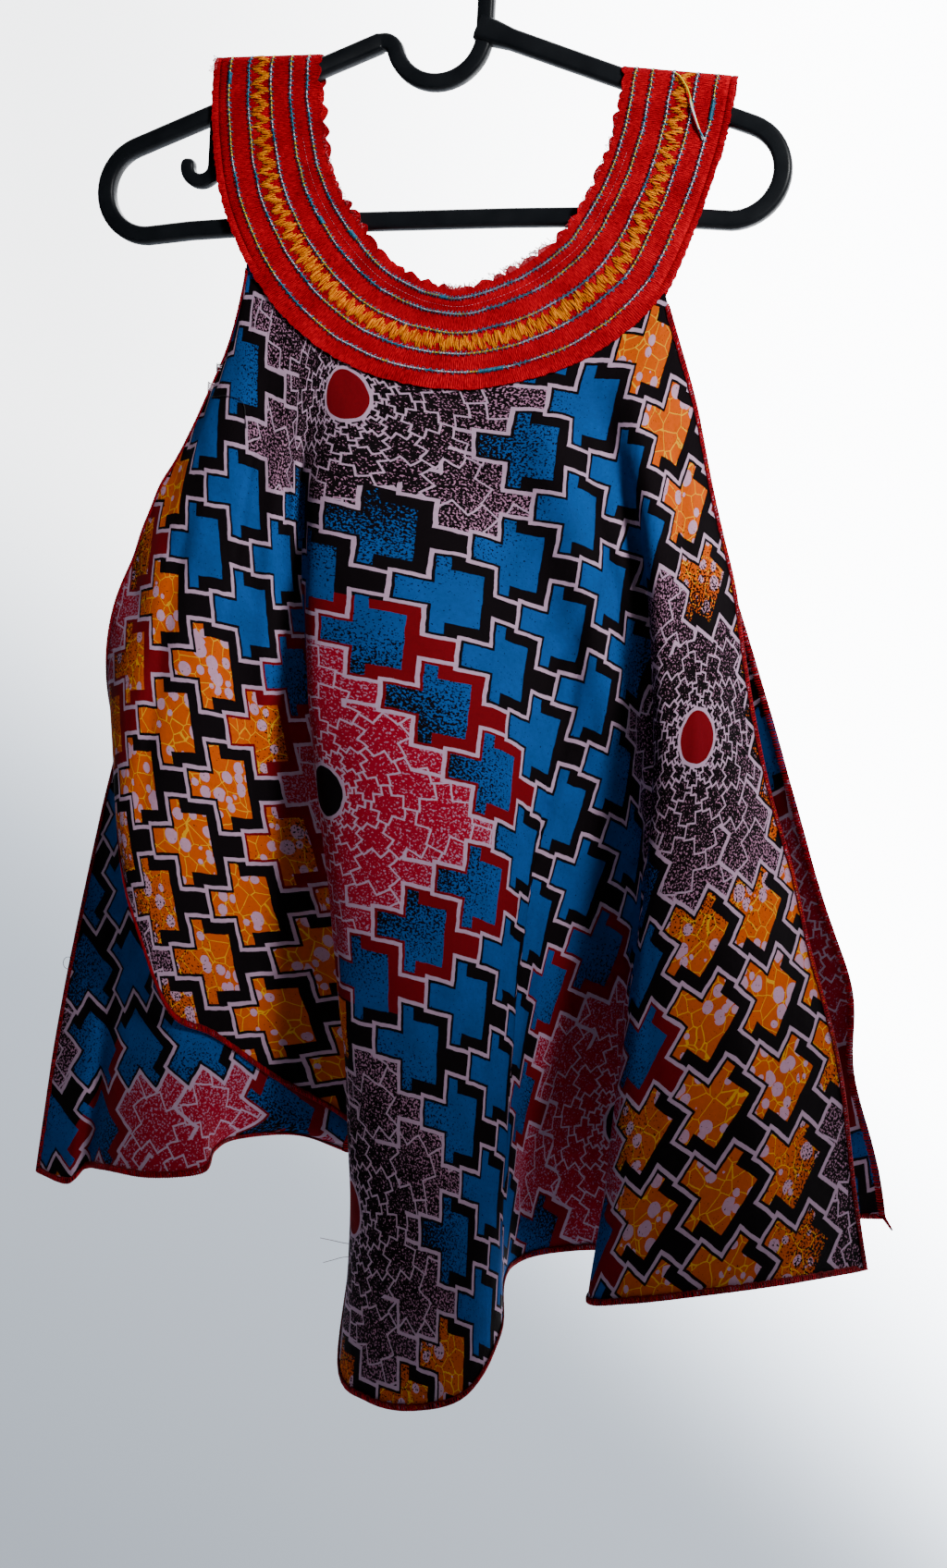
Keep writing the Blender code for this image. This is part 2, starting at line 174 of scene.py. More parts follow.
Rib = namedtuple("Rib", "name outer_x outer_z neck_x neck_z")
YOKE_RIBS = [
    Rib("left shoulder", -138, -101, -71, -101),
    Rib("left strap high", -138, -128, -70, -127),
    Rib("left strap middle", -135, -157, -65, -153),
    Rib("left strap low", -127, -192, -57, -177),
    Rib("left corner", -110, -227, -45, -197),
    Rib("left turn", -87, -257, -31, -214),
    Rib("left under", -60, -279, -15, -229),
    Rib("left bottom", -31, -293, 2, -238),
    Rib("middle left", -2, -300.5, 12, -241.5),
    Rib("middle", 30, -303, 23, -243),
    Rib("right bottom", 61, -298.5, 38, -239),
    Rib("right under", 93, -288, 56, -231),
    Rib("right turn", 120, -271, 72, -220),
    Rib("right corner", 143, -247, 84, -208),
    Rib("right strap low", 158, -212, 97, -184),
    Rib("right strap middle", 167, -183, 105, -162),
    Rib("right strap high", 174, -153, 109, -143),
    Rib("right shoulder", 178, -121, 112, -113.6),
]
LEFT_CORNER = 4
MIDDLE_RIB = 9
RIGHT_CORNER = 13
LAST_RIB = len(YOKE_RIBS) - 1
EDGE_SAMPLES = 241


def yoke_points(side, places, across, behind=0.0):
    """Points on the yoke's outer face, or behind it, in millimetres."""
    places, across = np.broadcast_arrays(np.asarray(places, float), np.asarray(across, float))
    outer_x, outer_z = (along(column(YOKE_RIBS, "outer_" + axis), places) for axis in "xz")
    neck_x, neck_z = (along(column(YOKE_RIBS, "neck_" + axis), places) for axis in "xz")
    x = outer_x + (neck_x - outer_x) * across
    z = outer_z + (neck_z - outer_z) * across
    left, right = YOKE_RIBS[0], YOKE_RIBS[LAST_RIB]
    right_top = right.outer_z + (right.neck_z - right.outer_z) * across
    top = np.where(places < MIDDLE_RIB, left.outer_z, right_top)
    fallen = np.clip((top - z) / SHOULDER_ROUND, 0, 1)
    lean = np.maximum(YOKE_LEAN_STARTS - z, 0) * YOKE_LEAN
    depth = SHOULDER_HALF_GAP + (YOKE_DEPTH + lean) * np.sqrt(1 - (1 - fallen) ** 2)
    if side == BACK:
        x = x - BACK_SLIDE * np.clip((left.outer_z - z) / BACK_SLIDE_DROP, 0, 1)
    return np.stack([x, side * (depth - behind), z], axis=-1)


def lengths_along(points):
    """The running length of a line of points."""
    steps = np.linalg.norm(np.diff(points, axis=0), axis=1)
    return np.concatenate([[0], np.cumsum(steps)])


def seam_places(shares):
    """The places on the yoke's outer edge at shares of its length between the corners."""
    places = np.linspace(LEFT_CORNER, RIGHT_CORNER, EDGE_SAMPLES)
    edge = yoke_points(FRONT, places, 0.0)[:, [0, 2]]
    run = lengths_along(edge)
    return np.interp(np.clip(shares, 0, 1) * run[-1], run, places)


print("yoke ribs:", len(YOKE_RIBS))

# %% [markdown]
# ## Shells and threads
#
# Cloth is a thin closed shell: an outer face, an inner face a cloth's thickness behind it,
# and a rim. Threads, cords and serging are all fine strands that follow a line, so one
# function makes them all. Both are written as mesh code, because each point is worked out.
# %% Helpers for cloth


def face_normals(grid):
    """Which way a grid's outer face looks, with its rows going down."""
    right, down = np.gradient(grid, axis=1), np.gradient(grid, axis=0)
    normal = np.cross(down, right)
    return normal / np.maximum(np.linalg.norm(normal, axis=-1, keepdims=True), 1e-9)


def add_piece(name, points, faces, uv, material, tone=None):
    """Makes a mesh piece from points in millimetres, with a UV place for each point."""
    mesh = bpy.data.meshes.new(name)
    mesh.from_pydata((np.asarray(points) * MM).tolist(), [], faces)
    mesh.materials.append(material)
    layer = mesh.uv_layers.new(name="flat")
    corners = np.empty(len(mesh.loops), int)
    mesh.loops.foreach_get("vertex_index", corners)
    layer.data.foreach_set("uv", np.asarray(uv, np.float32)[corners].ravel())
    if tone is not None:
        shade = mesh.attributes.new("tone", "FLOAT", "POINT")
        shade.data.foreach_set("value", np.asarray(tone, np.float32))
    mesh.shade_smooth()
    piece = bpy.data.objects.new(name, mesh)
    bpy.context.scene.collection.objects.link(piece)
    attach(piece, "root")
    return piece


def add_shell(name, grid, flat, thickness, material, flip=False, keep_side=0):
    """A thin closed shell behind a grid of points, with its flat pattern as its UV map."""
    if flip:
        grid, flat = grid[:, ::-1], flat[:, ::-1]
    rows, cols = grid.shape[:2]
    inner = grid - face_normals(grid) * thickness
    if keep_side:
        inner[..., 1] = keep_side * np.maximum(inner[..., 1] * keep_side, SHOULDER_HALF_GAP)
    points = np.concatenate([grid.reshape(-1, 3), inner.reshape(-1, 3)])
    uv = np.tile(flat.reshape(-1, 2) * MM, (2, 1))
    inside = rows * cols
    index = np.arange(inside).reshape(rows, cols)
    a, b = index[:-1, :-1].ravel(), index[:-1, 1:].ravel()
    c, d = index[1:, 1:].ravel(), index[1:, :-1].ravel()
    outer_faces = np.stack([a, d, c, b], 1)
    inner_faces = np.stack([a, b, c, d], 1) + inside
    rim = np.concatenate([index[0, :-1], index[:-1, -1], index[-1, :0:-1], index[:0:-1, 0]])
    ahead = np.roll(rim, -1)
    rim_faces = np.stack([rim, ahead, ahead + inside, rim + inside], 1)
    faces = np.concatenate([outer_faces, inner_faces, rim_faces]).tolist()
    piece = add_piece(name, points, faces, uv, material)
    piece.data.set_sharp_from_angle(angle=math.radians(60))
    return piece


print("a cloth shell is", YOKE_CLOTH, "mm thick on the yoke")


# %% Helpers for thread
def unit(vectors):
    """The same directions with a length of 1."""
    return vectors / np.maximum(np.linalg.norm(vectors, axis=-1, keepdims=True), 1e-9)


def add_strands(name, lines, up, half_width, half_height, material, sides=4, tone=None, swell=1.0):
    """Strands that follow lines, an array of line, point and xyz. Up is the way off the cloth."""
    lines, up = np.asarray(lines, float), np.asarray(up, float)
    count, steps = lines.shape[:2]
    way = unit(np.gradient(lines, axis=1))
    aside = unit(np.cross(way, np.broadcast_to(up, lines.shape)))
    lift = unit(np.cross(aside, way))
    turns = math.tau * (np.arange(sides) + 0.5) / sides
    size = np.broadcast_to(np.asarray(swell, float), (count, steps))[..., None, None]
    wide = aside[:, :, None] * np.cos(turns)[None, None, :, None] * half_width
    high = lift[:, :, None] * np.sin(turns)[None, None, :, None] * half_height
    rings = lines[:, :, None] + (wide + high) * size
    index = np.arange(count * steps * sides).reshape(count, steps, sides)
    a, b = index[:, :-1], np.roll(index[:, :-1], -1, axis=2)
    d, c = index[:, 1:], np.roll(index[:, 1:], -1, axis=2)
    faces = np.stack([a, b, c, d], -1).reshape(-1, 4).tolist()
    faces += index[:, 0, ::-1].tolist() + index[:, -1].tolist()
    length = np.cumsum(np.linalg.norm(np.diff(lines, axis=1, prepend=lines[:, :1]), axis=-1), axis=1)
    u = np.repeat(length[:, :, None], sides, axis=2)
    v = np.broadcast_to(np.arange(sides) / sides, u.shape) * 10
    uv = np.stack([u, v], -1).reshape(-1, 2) * MM
    shade = np.repeat(np.zeros(count) if tone is None else tone, steps * sides)
    return add_piece(name, rings.reshape(-1, 3), faces, uv, material, shade)


def yoke_frame(side, places, across):
    """Points on the yoke, and the ways off its face, along the band and towards the neck."""
    step = 0.004
    places, across = np.broadcast_arrays(np.asarray(places, float), np.asarray(across, float))
    here = yoke_points(side, places, across)
    ahead = yoke_points(side, places + step, across) - yoke_points(side, places - step, across)
    inward = yoke_points(side, places, across + step) - yoke_points(side, places, across - step)
    return here, unit(np.cross(inward, ahead)) * side, unit(ahead), unit(inward)


# %% Lengths along the band
YOKE_RUN_PLACES = np.linspace(0, LAST_RIB, 600)
YOKE_RUN = lengths_along(yoke_points(FRONT, YOKE_RUN_PLACES, 0.5)[:, [0, 2]])
BAND_WIDTH = 65.0


def place_at(run):
    """The place on the band that is so many millimetres along it."""
    return np.interp(run, YOKE_RUN, YOKE_RUN_PLACES)


def run_at(places):
    """How many millimetres along the band a place is."""
    return np.interp(places, YOKE_RUN_PLACES, YOKE_RUN)


print("the band is", round(YOKE_RUN[-1]), "mm long at its middle")

# %% [markdown]
# ## The body's shape
#
# The body hangs from the yoke as three pieces of cotton: front, back and a piece let in at
# the lower left of the front. Each row is a line down the cloth, a ridge or a valley.
# %% The body's tables
Fold = namedtuple("Fold", "name seam upper_x upper_y lower_x lower_y hem_x hem_y hem_z")
FRONT_FOLDS = [
    Fold("left edge", 0.00, -140, -2.2, -181, -3, -178, -5, -511),
    Fold("left lobe side", 0.05, -138, -12, -163, -24, -161, -34, -585),
    Fold("left lobe ridge", 0.09, -126, -18, -146, -32, -141, -46, -629),
    Fold("left lobe slope", 0.13, -109, -18, -121, -32, -120, -44, -674),
    Fold("left slope", 0.17, -96, -14, -101, -20, -98, -26, -688),
    Fold("left recess", 0.205, -83, -10, -81, -7, -70, -5, -711),
    Fold("left valley", 0.235, -70, -8, -46, 3, -16, 12, -745),
    Fold("tube left side", 0.265, -60, -13, -24, -16, -6, -25, -793),
    Fold("tube left", 0.30, -48, -30, -15, -48, -2, -58, -862),
    Fold("tube left front", 0.34, -28, -42, 0, -64, 22, -80, -874),
    Fold("tube front", 0.38, -1, -48, 27, -72, 52, -90, -873),
    Fold("tube right front", 0.44, 31, -46, 57, -68, 79, -83, -863),
    Fold("tube right", 0.50, 60, -36, 79, -50, 90, -56, -836),
    Fold("tube right side", 0.56, 78, -26, 87, -28, 82, -22, -815),
    Fold("recess left", 0.615, 94, -18, 95, -8, 85, 6, -808),
    Fold("recess middle", 0.67, 111, -14, 112, 2, 105, 15, -802),
    Fold("recess right", 0.72, 126, -13, 136, 2, 137, 14, -798),
    Fold("right lobe side", 0.765, 137, -17, 150, -15, 144, -33, -802),
    Fold("right lobe left", 0.81, 146, -28, 151, -46, 140, -66, -810),
    Fold("right lobe front", 0.855, 156, -36, 165, -60, 164, -84, -804),
    Fold("right lobe middle", 0.90, 168, -36, 190, -61, 200, -86, -796),
    Fold("right lobe right", 0.95, 181, -24, 218, -42, 244, -62, -790),
    Fold("right edge", 1.00, 194, -2.2, 243, -7, 285, -12, -788),
]
BACK_FOLDS = [
    Fold("left edge", 0.00, -150, 3, -184, 8, -204, 12, -742),
    Fold("lobe 1 left", 0.08, -148, 18, -166, 38, -186, 52, -744),
    Fold("lobe 1 right", 0.16, -118, 22, -130, 44, -148, 64, -746),
    Fold("valley 1", 0.25, -88, 14, -98, 22, -112, 30, -748),
    Fold("lobe 2 left", 0.33, -62, 24, -72, 48, -86, 66, -756),
    Fold("lobe 2 right", 0.42, -32, 32, -38, 64, -44, 94, -765),
    Fold("valley 2", 0.50, -4, 20, -4, 30, -4, 38, -775),
    Fold("lobe 3 left", 0.58, 24, 32, 30, 62, 36, 92, -785),
    Fold("lobe 3 right", 0.66, 56, 34, 70, 66, 84, 98, -790),
    Fold("valley 3", 0.74, 88, 18, 106, 26, 122, 38, -790),
    Fold("lobe 4 left", 0.82, 118, 26, 142, 50, 166, 72, -785),
    Fold("lobe 4 right", 0.91, 154, 20, 196, 38, 236, 56, -775),
    Fold("right edge", 1.00, 192, 3, 250, 6, 292, 10, -763),
]
Gore = namedtuple("Gore", "name fold under mid_x mid_y mid_z hem_x hem_y hem_z")
GORE_FOLDS = [
    Gore("outer edge", 0.0, 2.5, -206, 2, -662, -219, 0, -783),
    Gore("small lobe", 0.5, 7.0, -183, -8, -667, -192, -15, -785),
    Gore("tuck", 0.9, 11.0, -172, -10, -676, -183, -9, -776),
    Gore("lobe left", 1.4, 14.0, -157, -22, -689, -161, -32, -771),
    Gore("lobe front", 2.2, 13.0, -133, -33, -710, -126, -47, -770),
    Gore("lobe right", 3.2, 7.0, -109, -34, -722, -95, -42, -765),
    Gore("side", 4.0, 3.0, -96, -22, -724, -98, -16, -757),
    Gore("recess left", 4.6, 1.7, -84, -9, -731, -89, -2, -751),
    Gore("recess", 5.3, 1.7, -57, 2, -739, -53, 7, -747),
    Gore("valley", 5.9, 1.7, -24, 13, -749, -25, 16, -755),
]
print("front folds", len(FRONT_FOLDS), "back folds", len(BACK_FOLDS), "let-in folds", len(GORE_FOLDS))

# %% Points on the body's cloth
GORE_TOP = 0.93
GORE_FOLD_LIMITS = (0.02, 5.95)
BODY_TUCK = 0.10
BODY_CLOTH = 1.2


def body_points(side, table, folds, downs):
    """A grid on a panel's outer face. Folds are places in its table, downs go from 0 to 1."""
    folds, t = np.asarray(folds, float), np.asarray(downs, float)[:, None, None]
    places = seam_places(along(column(table, "seam"), folds))
    top = yoke_points(side, places, 0.0, YOKE_CLOTH + SEAM_GAP)
    drop = along(column(table, "hem_z"), folds) - top[:, 2]
    levels = [top]
    for level, part in (("upper", 1 / 3), ("lower", 2 / 3), ("hem", 1.0)):
        x, y = (along(column(table, f"{level}_{axis}"), folds) for axis in "xy")
        levels.append(np.stack([x, y, top[:, 2] + drop * part], axis=-1))
    a, b, c, d = t, t - 1 / 3, t - 2 / 3, t - 1
    weights = (-4.5 * b * c * d, 13.5 * a * c * d, -13.5 * a * b * d, 4.5 * a * b * c)
    return sum(level * weight for level, weight in zip(levels, weights))


def front_behind(folds, down, distance):
    """Points straight behind the front panel's outer face."""
    step = 0.02
    here = body_points(FRONT, FRONT_FOLDS, folds, [down])[0]
    right = body_points(FRONT, FRONT_FOLDS, folds + step, [down])[0] - here
    below = here - body_points(FRONT, FRONT_FOLDS, folds, [down - step])[0]
    return here - unit(np.cross(below, right)) * distance[:, None]


def gore_points(places, downs):
    """A grid on the let-in piece's outer face, with a first row sewn behind the front."""
    folds = np.clip(along(column(GORE_FOLDS, "fold"), places), *GORE_FOLD_LIMITS)
    under = along(column(GORE_FOLDS, "under"), places)
    edge = front_behind(folds, 1.0, under)
    mid, hem = (
        np.stack([along(column(GORE_FOLDS, f"{level}_{axis}"), places) for axis in "xyz"], -1)
        for level in ("mid", "hem")
    )
    t = np.asarray(downs, float)[:, None, None]
    rows = edge * (1 - t) * (1 - 2 * t) + mid * 4 * t * (1 - t) + hem * t * (2 * t - 1)
    return np.concatenate([front_behind(folds, GORE_TOP, under)[None], rows])


front_hem = body_points(FRONT, FRONT_FOLDS, range(len(FRONT_FOLDS)), [1.0])[0]
print("the front hem is", round(lengths_along(front_hem)[-1]), "mm long from fold to fold")

# %% [markdown]
# ## The flat pattern
#
# A flared panel is cut as part of a ring. Laying the hanging cloth back on that ring gives
# each point its place on the cut cloth, in millimetres. The print is drawn there, so it turns
# across the panel and runs through the folds as real print does. The let-in piece hangs
# straight, so it is laid out without a ring.
# %% Lay a panel flat


def flat_pattern(grid):
    """Lays a flared panel on its ring: places on the cut cloth, in millimetres."""
    down = np.concatenate([np.zeros((1, grid.shape[1])), np.linalg.norm(np.diff(grid, axis=0), axis=-1)])
    down = np.cumsum(down, axis=0)
    seam, hem = lengths_along(grid[0]), lengths_along(grid[-1])
    turn = (hem[-1] - seam[-1]) / down[-1].mean()
    radius = seam[-1] / turn
    angle = turn * ((seam / seam[-1] + hem / hem[-1]) / 2 - 0.5)
    reach = radius + down
    return np.stack([reach * np.sin(angle), radius - reach * np.cos(angle)], axis=-1)


def hanging_pattern(grid):
    """Lays out cloth that hangs straight down, by how far round and how far down each point is."""
    across = np.linalg.norm(np.diff(grid[..., :2], axis=1, prepend=grid[:, :1, :2]), axis=-1)
    across = np.cumsum(across, axis=1)
    middle = across[:, across.shape[1] // 2, None]
    return np.stack([across - middle, grid[0, 0, 2] - grid[..., 2]], axis=-1)


def cloth_area(grid):
    """The hanging cloth's area in square metres."""
    right, down = np.gradient(grid, axis=1), np.gradient(grid, axis=0)
    return np.linalg.norm(np.cross(down, right), axis=-1)[:-1, :-1].sum() * MM * MM


def flat_area(flat):
    """The area of its flat pattern, in square metres."""
    one, two = flat[1:, 1:] - flat[:-1, :-1], flat[1:, :-1] - flat[:-1, 1:]
    return np.abs(one[..., 0] * two[..., 1] - one[..., 1] * two[..., 0]).sum() / 2 * MM * MM


laid_out = flat_pattern(body_points(FRONT, FRONT_FOLDS, range(len(FRONT_FOLDS)), [0.0, 0.5, 1.0]))
print("laid flat, the front is about", round(np.ptp(laid_out[..., 0])), "mm wide")


# %% [markdown]
# ## Creases and soft waves
#
# The large folds are in the tables. Over them lie softer creases, uneven in length and depth,
# and edges that wander a little. Each crease is a trough or a ridge between two places on the
# panel, and the cloth is moved along its own normal.
# %% Crease helpers
Crease = namedtuple("Crease", "fold down to_fold to_down width height")
EdgeWave = namedtuple("EdgeWave", "fold down reach out")
RIPPLES = 8
RIPPLE_SHORTEST = 35
RIPPLE_LONGEST = 130
EDGE_WAVE_FOLDS = 0.8


def crease_lift(flat, folds, downs, creases):
    """How far the creases lift the cloth, in millimetres."""
    lift = np.zeros(flat.shape[:2])
    for crease in creases:
        ends = []
        for fold, down in ((crease.fold, crease.down), (crease.to_fold, crease.to_down)):
            row, col = np.interp(down, downs, range(len(downs))), np.interp(fold, folds, range(len(folds)))
            ends.append(flat[int(round(row)), int(round(col))])
        way = ends[1] - ends[0]
        share = ((flat - ends[0]) @ way) / (way @ way)
        off = np.linalg.norm(flat - ends[0] - np.clip(share, 0, 1)[..., None] * way, axis=-1)
        fade = smooth_step(share, -0.05, 0.25) * (1 - smooth_step(share, 0.75, 1.05))
        lift += crease.height * fade * np.exp(-((off / crease.width) ** 2))
    return lift


def ripple(flat, seed, height):
    """Soft uneven waves, the sum of several directions and lengths."""
    draw = np.random.default_rng(seed)
    lift = np.zeros(flat.shape[:2])
    for _ in range(RIPPLES):
        turn = draw.uniform(0, math.tau)
        length = draw.uniform(RIPPLE_SHORTEST, RIPPLE_LONGEST)
        phase = draw.uniform(0, math.tau)
        along_wave = flat @ np.array([math.cos(turn), math.sin(turn)])
        lift += np.sin(along_wave / length * math.tau + phase) * height * length / RIPPLE_LONGEST
    return lift


def wave_edges(grid, folds, downs, waves):
    """Moves a panel's side edges in or out a little, fading within two folds."""
    out = unit(grid[:, -1] - grid[:, 0])
    for wave in waves:
        near = np.exp(-(((downs - wave.down) / wave.reach) ** 2))[:, None]
        fade = np.exp(-(((folds - wave.fold) / EDGE_WAVE_FOLDS) ** 2))[None, :]
        side = 1 if wave.fold > 0 else -1
        grid = grid + (near * fade * wave.out * side)[..., None] * out[:, None]
    return grid


print("ripples from", RIPPLE_SHORTEST, "to", RIPPLE_LONGEST, "mm long")

# %% Where the creases are
FRONT_WAVES = [
    EdgeWave(22, 0.12, 0.10, 3.5),
    EdgeWave(22, 0.30, 0.05, 2.5),
    EdgeWave(22, 0.48, 0.12, -5.5),
    EdgeWave(22, 0.80, 0.09, 5.0),
    EdgeWave(0, 0.47, 0.04, 2.0),
    EdgeWave(0, 0.62, 0.05, -1.5),
]
BACK_WAVES = [EdgeWave(12, 0.75, 0.06, 4.5), EdgeWave(12, 0.85, 0.06, -5.0)]
FRONT_CREASES = [
    Crease(6.6, 0.06, 6.5, 0.80, 8, -5.0),
    Crease(8.6, 0.02, 8.2, 0.45, 13, 3.0),
    Crease(15.2, -0.05, 15.4, 0.44, 20, 8.0),
    Crease(17.9, 0.06, 17.8, 0.66, 8, -9.0),
    Crease(19.6, 0.02, 19.2, 0.50, 10, 3.5),
    Crease(16.9, 0.20, 13.2, 0.36, 5, -2.6),
    Crease(14.9, 0.29, 13.9, 0.47, 4, -2.4),
    Crease(16.2, 0.33, 14.8, 0.46, 4, 1.8),
    Crease(14.0, 0.42, 12.9, 0.68, 4, -4.5),
    Crease(12.9, 0.62, 12.4, 0.98, 4, -4.0),
    Crease(13.1, 0.55, 11.6, 0.71, 3, -1.8),
    Crease(20.3, 0.40, 19.7, 0.56, 2.6, 1.6),
    Crease(21.2, 0.10, 20.4, 0.34, 5, -2.2),
    Crease(12.2, 0.01, 12.6, 0.16, 5, -1.8),
    Crease(9.9, 0.01, 10.4, 0.13, 4, -1.4),
    Crease(3.1, 0.08, 3.6, 0.62, 1.6, -1.2),
    Crease(4.4, 0.05, 5.0, 0.60, 8, 2.4),
    Crease(1.4, 0.30, 2.2, 0.85, 7, -2.6),
    Crease(4.9, 0.62, 4.3, 0.96, 6, -2.4),
    Crease(10.6, 0.45, 11.0, 0.98, 12, -1.8),
    Crease(15.4, 0.48, 15.8, 0.97, 8, -2.4),
    Crease(16.6, 0.60, 16.3, 0.98, 6, 2.0),
    Crease(20.2, 0.56, 20.8, 0.98, 12, 1.8),
    Crease(18.9, 0.62, 19.3, 0.93, 8, -1.6),
    Crease(19.4, 0.77, 21.6, 0.73, 4, -1.2),
]
BACK_CREASES = [
    Crease(1.6, 0.05, 1.4, 0.60, 9, -2.0),
    Crease(3.3, 0.03, 3.0, 0.45, 8, 2.2),
    Crease(5.2, 0.10, 5.5, 0.70, 12, -2.0),
    Crease(6.6, 0.02, 7.2, 0.40, 8, 2.0),
    Crease(8.4, 0.20, 8.0, 0.80, 11, 1.8),
    Crease(9.8, 0.05, 10.4, 0.55, 9, -2.0),
    Crease(11.2, 0.35, 11.5, 0.95, 10, 1.8),
    Crease(4.2, 0.55, 4.6, 0.97, 10, 1.6),
]
print("creases", len(FRONT_CREASES) + len(BACK_CREASES))

# %% [markdown]
# ## The printed cotton
#
# Wax-printed cotton has flat, strong colours with crackle and stipple in them, and lines of
# bare pale cloth beside thick black ones. The print here is a plain design of stepped
# lozenges and rosettes, worked out in millimetres on the cut cloth. So a noise or a cell
# pattern with a scale of 0.1 has marks about 10 mm apart.
# %% Dyes and sizes
STAIR = 16.5
STAIRS_PER_LOZENGE = 4
PALE_LINE = 2.2
BLACK_SHADOW = 6.3
BLACK_RIM = 1.5
ROSETTE_PITCH = (292.0, 236.0)
ROSETTE_RADIUS = 80.0
ROSETTE_LOZENGES = 11
ROSETTE_LINE = 1.05
HEART_RADIUS = 14.5
HEART_RIM = 16.5
COLOUR_BAND_STEP = (0.0026, 0.0016, 0)
ORANGE_STARTS = 0.52
CRACK_HALF = 0.022
STIPPLE_OUTSIDE = 48
STIPPLE_INSIDE = 18
DARK_RED_OUTSIDE = 34
LINES_INSIDE = 26
DYES = {
    "blue": "#084E98",
    "deep blue": "#083C70",
    "orange": "#BE4C02",
    "pale": "#A2728F",
    "pale line": "#AE90A8",
    "bubble": "#B88CA4",
    "yellow": "#D89A12",
    "black": "#0D080B",
    "dark red": "#6A0812",
    "crimson": "#900B22",
}
dye = {name: colour(code) for name, code in DYES.items()}
print("a lozenge is", STAIR * STAIRS_PER_LOZENGE, "mm from row to row, in", len(dye), "dyes")

# %% [markdown]
# A stepped lozenge is a stair on a grid of 16.5 mm, so whole numbers say which lozenge a point
# is in. Where a small shift changes that number there is a line, and a larger shift its shadow.
# %% Stepped lozenges


def stair_number(tree, place, shift, side):
    """Which row of lozenges a shifted place is in: side 1 rises to the right, -1 falls."""
    shift = shift if isinstance(shift, bpy.types.Node) else (shift,) * 3
    moved = add_node(tree, "VectorMath", [shift, (1, -side, 0), place], operation="MULTIPLY_ADD")
    steps = add_node(tree, "VectorMath", [moved, (1 / STAIR,) * 3], operation="MULTIPLY")
    steps = add_node(tree, "VectorMath", [steps], operation="FLOOR")
    share = 1 / STAIRS_PER_LOZENGE
    row = add_node(tree, "VectorMath", [steps, (-share * side, share, 0)], operation="DOT_PRODUCT")
    offset = 0.01 if side == 1 else 0.01 + share
    row = add_node(tree, "Math", [row.outputs["Value"], offset], operation="ADD")
    return add_node(tree, "Math", [row], operation="FLOOR")


def differ(tree, one, two):
    """1 where two whole numbers differ."""
    gap = add_node(tree, "Math", [one, two], operation="SUBTRACT")
    gap = add_node(tree, "Math", [gap], operation="ABSOLUTE")
    return add_node(tree, "Math", [gap, 0.5], operation="GREATER_THAN")


def lozenge_lines(tree, place):
    """Where the pale lines and the black shadows are, and the two rows that a place is in."""
    pale, black, rows = [], [], []
    for side in (1, -1):
        rim, here, line, shadow = (
            stair_number(tree, place, shift, side)
            for shift in (-BLACK_RIM, 0.0, PALE_LINE, PALE_LINE + BLACK_SHADOW)
        )
        rows.append(here)
        pale.append(differ(tree, here, line))
        black.append(differ(tree, rim, shadow))
    pale = add_node(tree, "Math", pale, operation="MAXIMUM")
    black = add_node(tree, "Math", black, operation="MAXIMUM")
    return pale, black, rows


def lozenge_middle(tree, rows):
    """The middle of the lozenge where two rows meet."""
    half = STAIRS_PER_LOZENGE / 2
    x = add_node(tree, "Math", [rows[1], rows[0]], operation="SUBTRACT")
    x = add_node(tree, "Math", [x, half * STAIR], operation="MULTIPLY")
    y = add_node(tree, "Math", [rows[0], rows[1]], operation="ADD")
    y = add_node(tree, "Math", [y, half * STAIR, (half - 0.5) * STAIR], operation="MULTIPLY_ADD")
    return add_node(tree, "CombineXYZ", [x, y])


print("a pale line is", PALE_LINE, "mm wide and its black shadow", BLACK_SHADOW, "mm")

# %% [markdown]
# Rosettes stand in staggered columns. In one, the same lozenges are wrapped round a middle and
# grow smaller towards it, because they are drawn on the logarithm of the distance. Every other
# rosette is crimson, and the rest are black, with stipple and an oval heart.
# %% Rosettes


def rosette_place(tree, place):
    """The way from the nearest rosette's middle, and that rosette's number."""
    wide, high = ROSETTE_PITCH
    axes = add_node(tree, "SeparateXYZ", [place])
    col = add_node(tree, "Math", [axes.outputs[0], 1 / wide], operation="MULTIPLY")
    col = add_node(tree, "Math", [col], operation="ROUND")
    half = add_node(tree, "Math", [col, -high / 2, axes.outputs[1]], operation="MULTIPLY_ADD")
    row = add_node(tree, "Math", [half, 1 / high], operation="MULTIPLY")
    row = add_node(tree, "Math", [row], operation="ROUND")
    x = add_node(tree, "Math", [col, -wide, axes.outputs[0]], operation="MULTIPLY_ADD")
    y = add_node(tree, "Math", [row, -high, half], operation="MULTIPLY_ADD")
    return x, y, add_node(tree, "Math", [col, row], operation="ADD")


def distance(tree, x, y):
    """How far a place is from a middle, from its two ways there."""
    way = add_node(tree, "CombineXYZ", [x, y])
    return add_node(tree, "VectorMath", [way], operation="LENGTH").outputs["Value"]


def rosette_lines(tree, x, y, away):
    """The lines of the lozenges that are wrapped round a rosette's middle."""
    size = ROSETTE_LOZENGES * STAIRS_PER_LOZENGE * STAIR / math.tau
    turn = add_node(tree, "Math", [y, x], operation="ARCTAN2")
    turn = add_node(tree, "Math", [turn, size], operation="MULTIPLY")
    ring = add_node(tree, "Math", [away, math.e], operation="LOGARITHM")
    ring = add_node(tree, "Math", [ring, size], operation="MULTIPLY")
    place = add_node(tree, "CombineXYZ", [turn, ring])
    width = add_node(tree, "Math", [ROSETTE_LINE * size, away], operation="DIVIDE")
    lines = []
    for side in (1, -1):
        here, line = (stair_number(tree, place, shift, side) for shift in (0.0, width))
        lines.append(differ(tree, here, line))
    return add_node(tree, "Math", lines, operation="MAXIMUM")


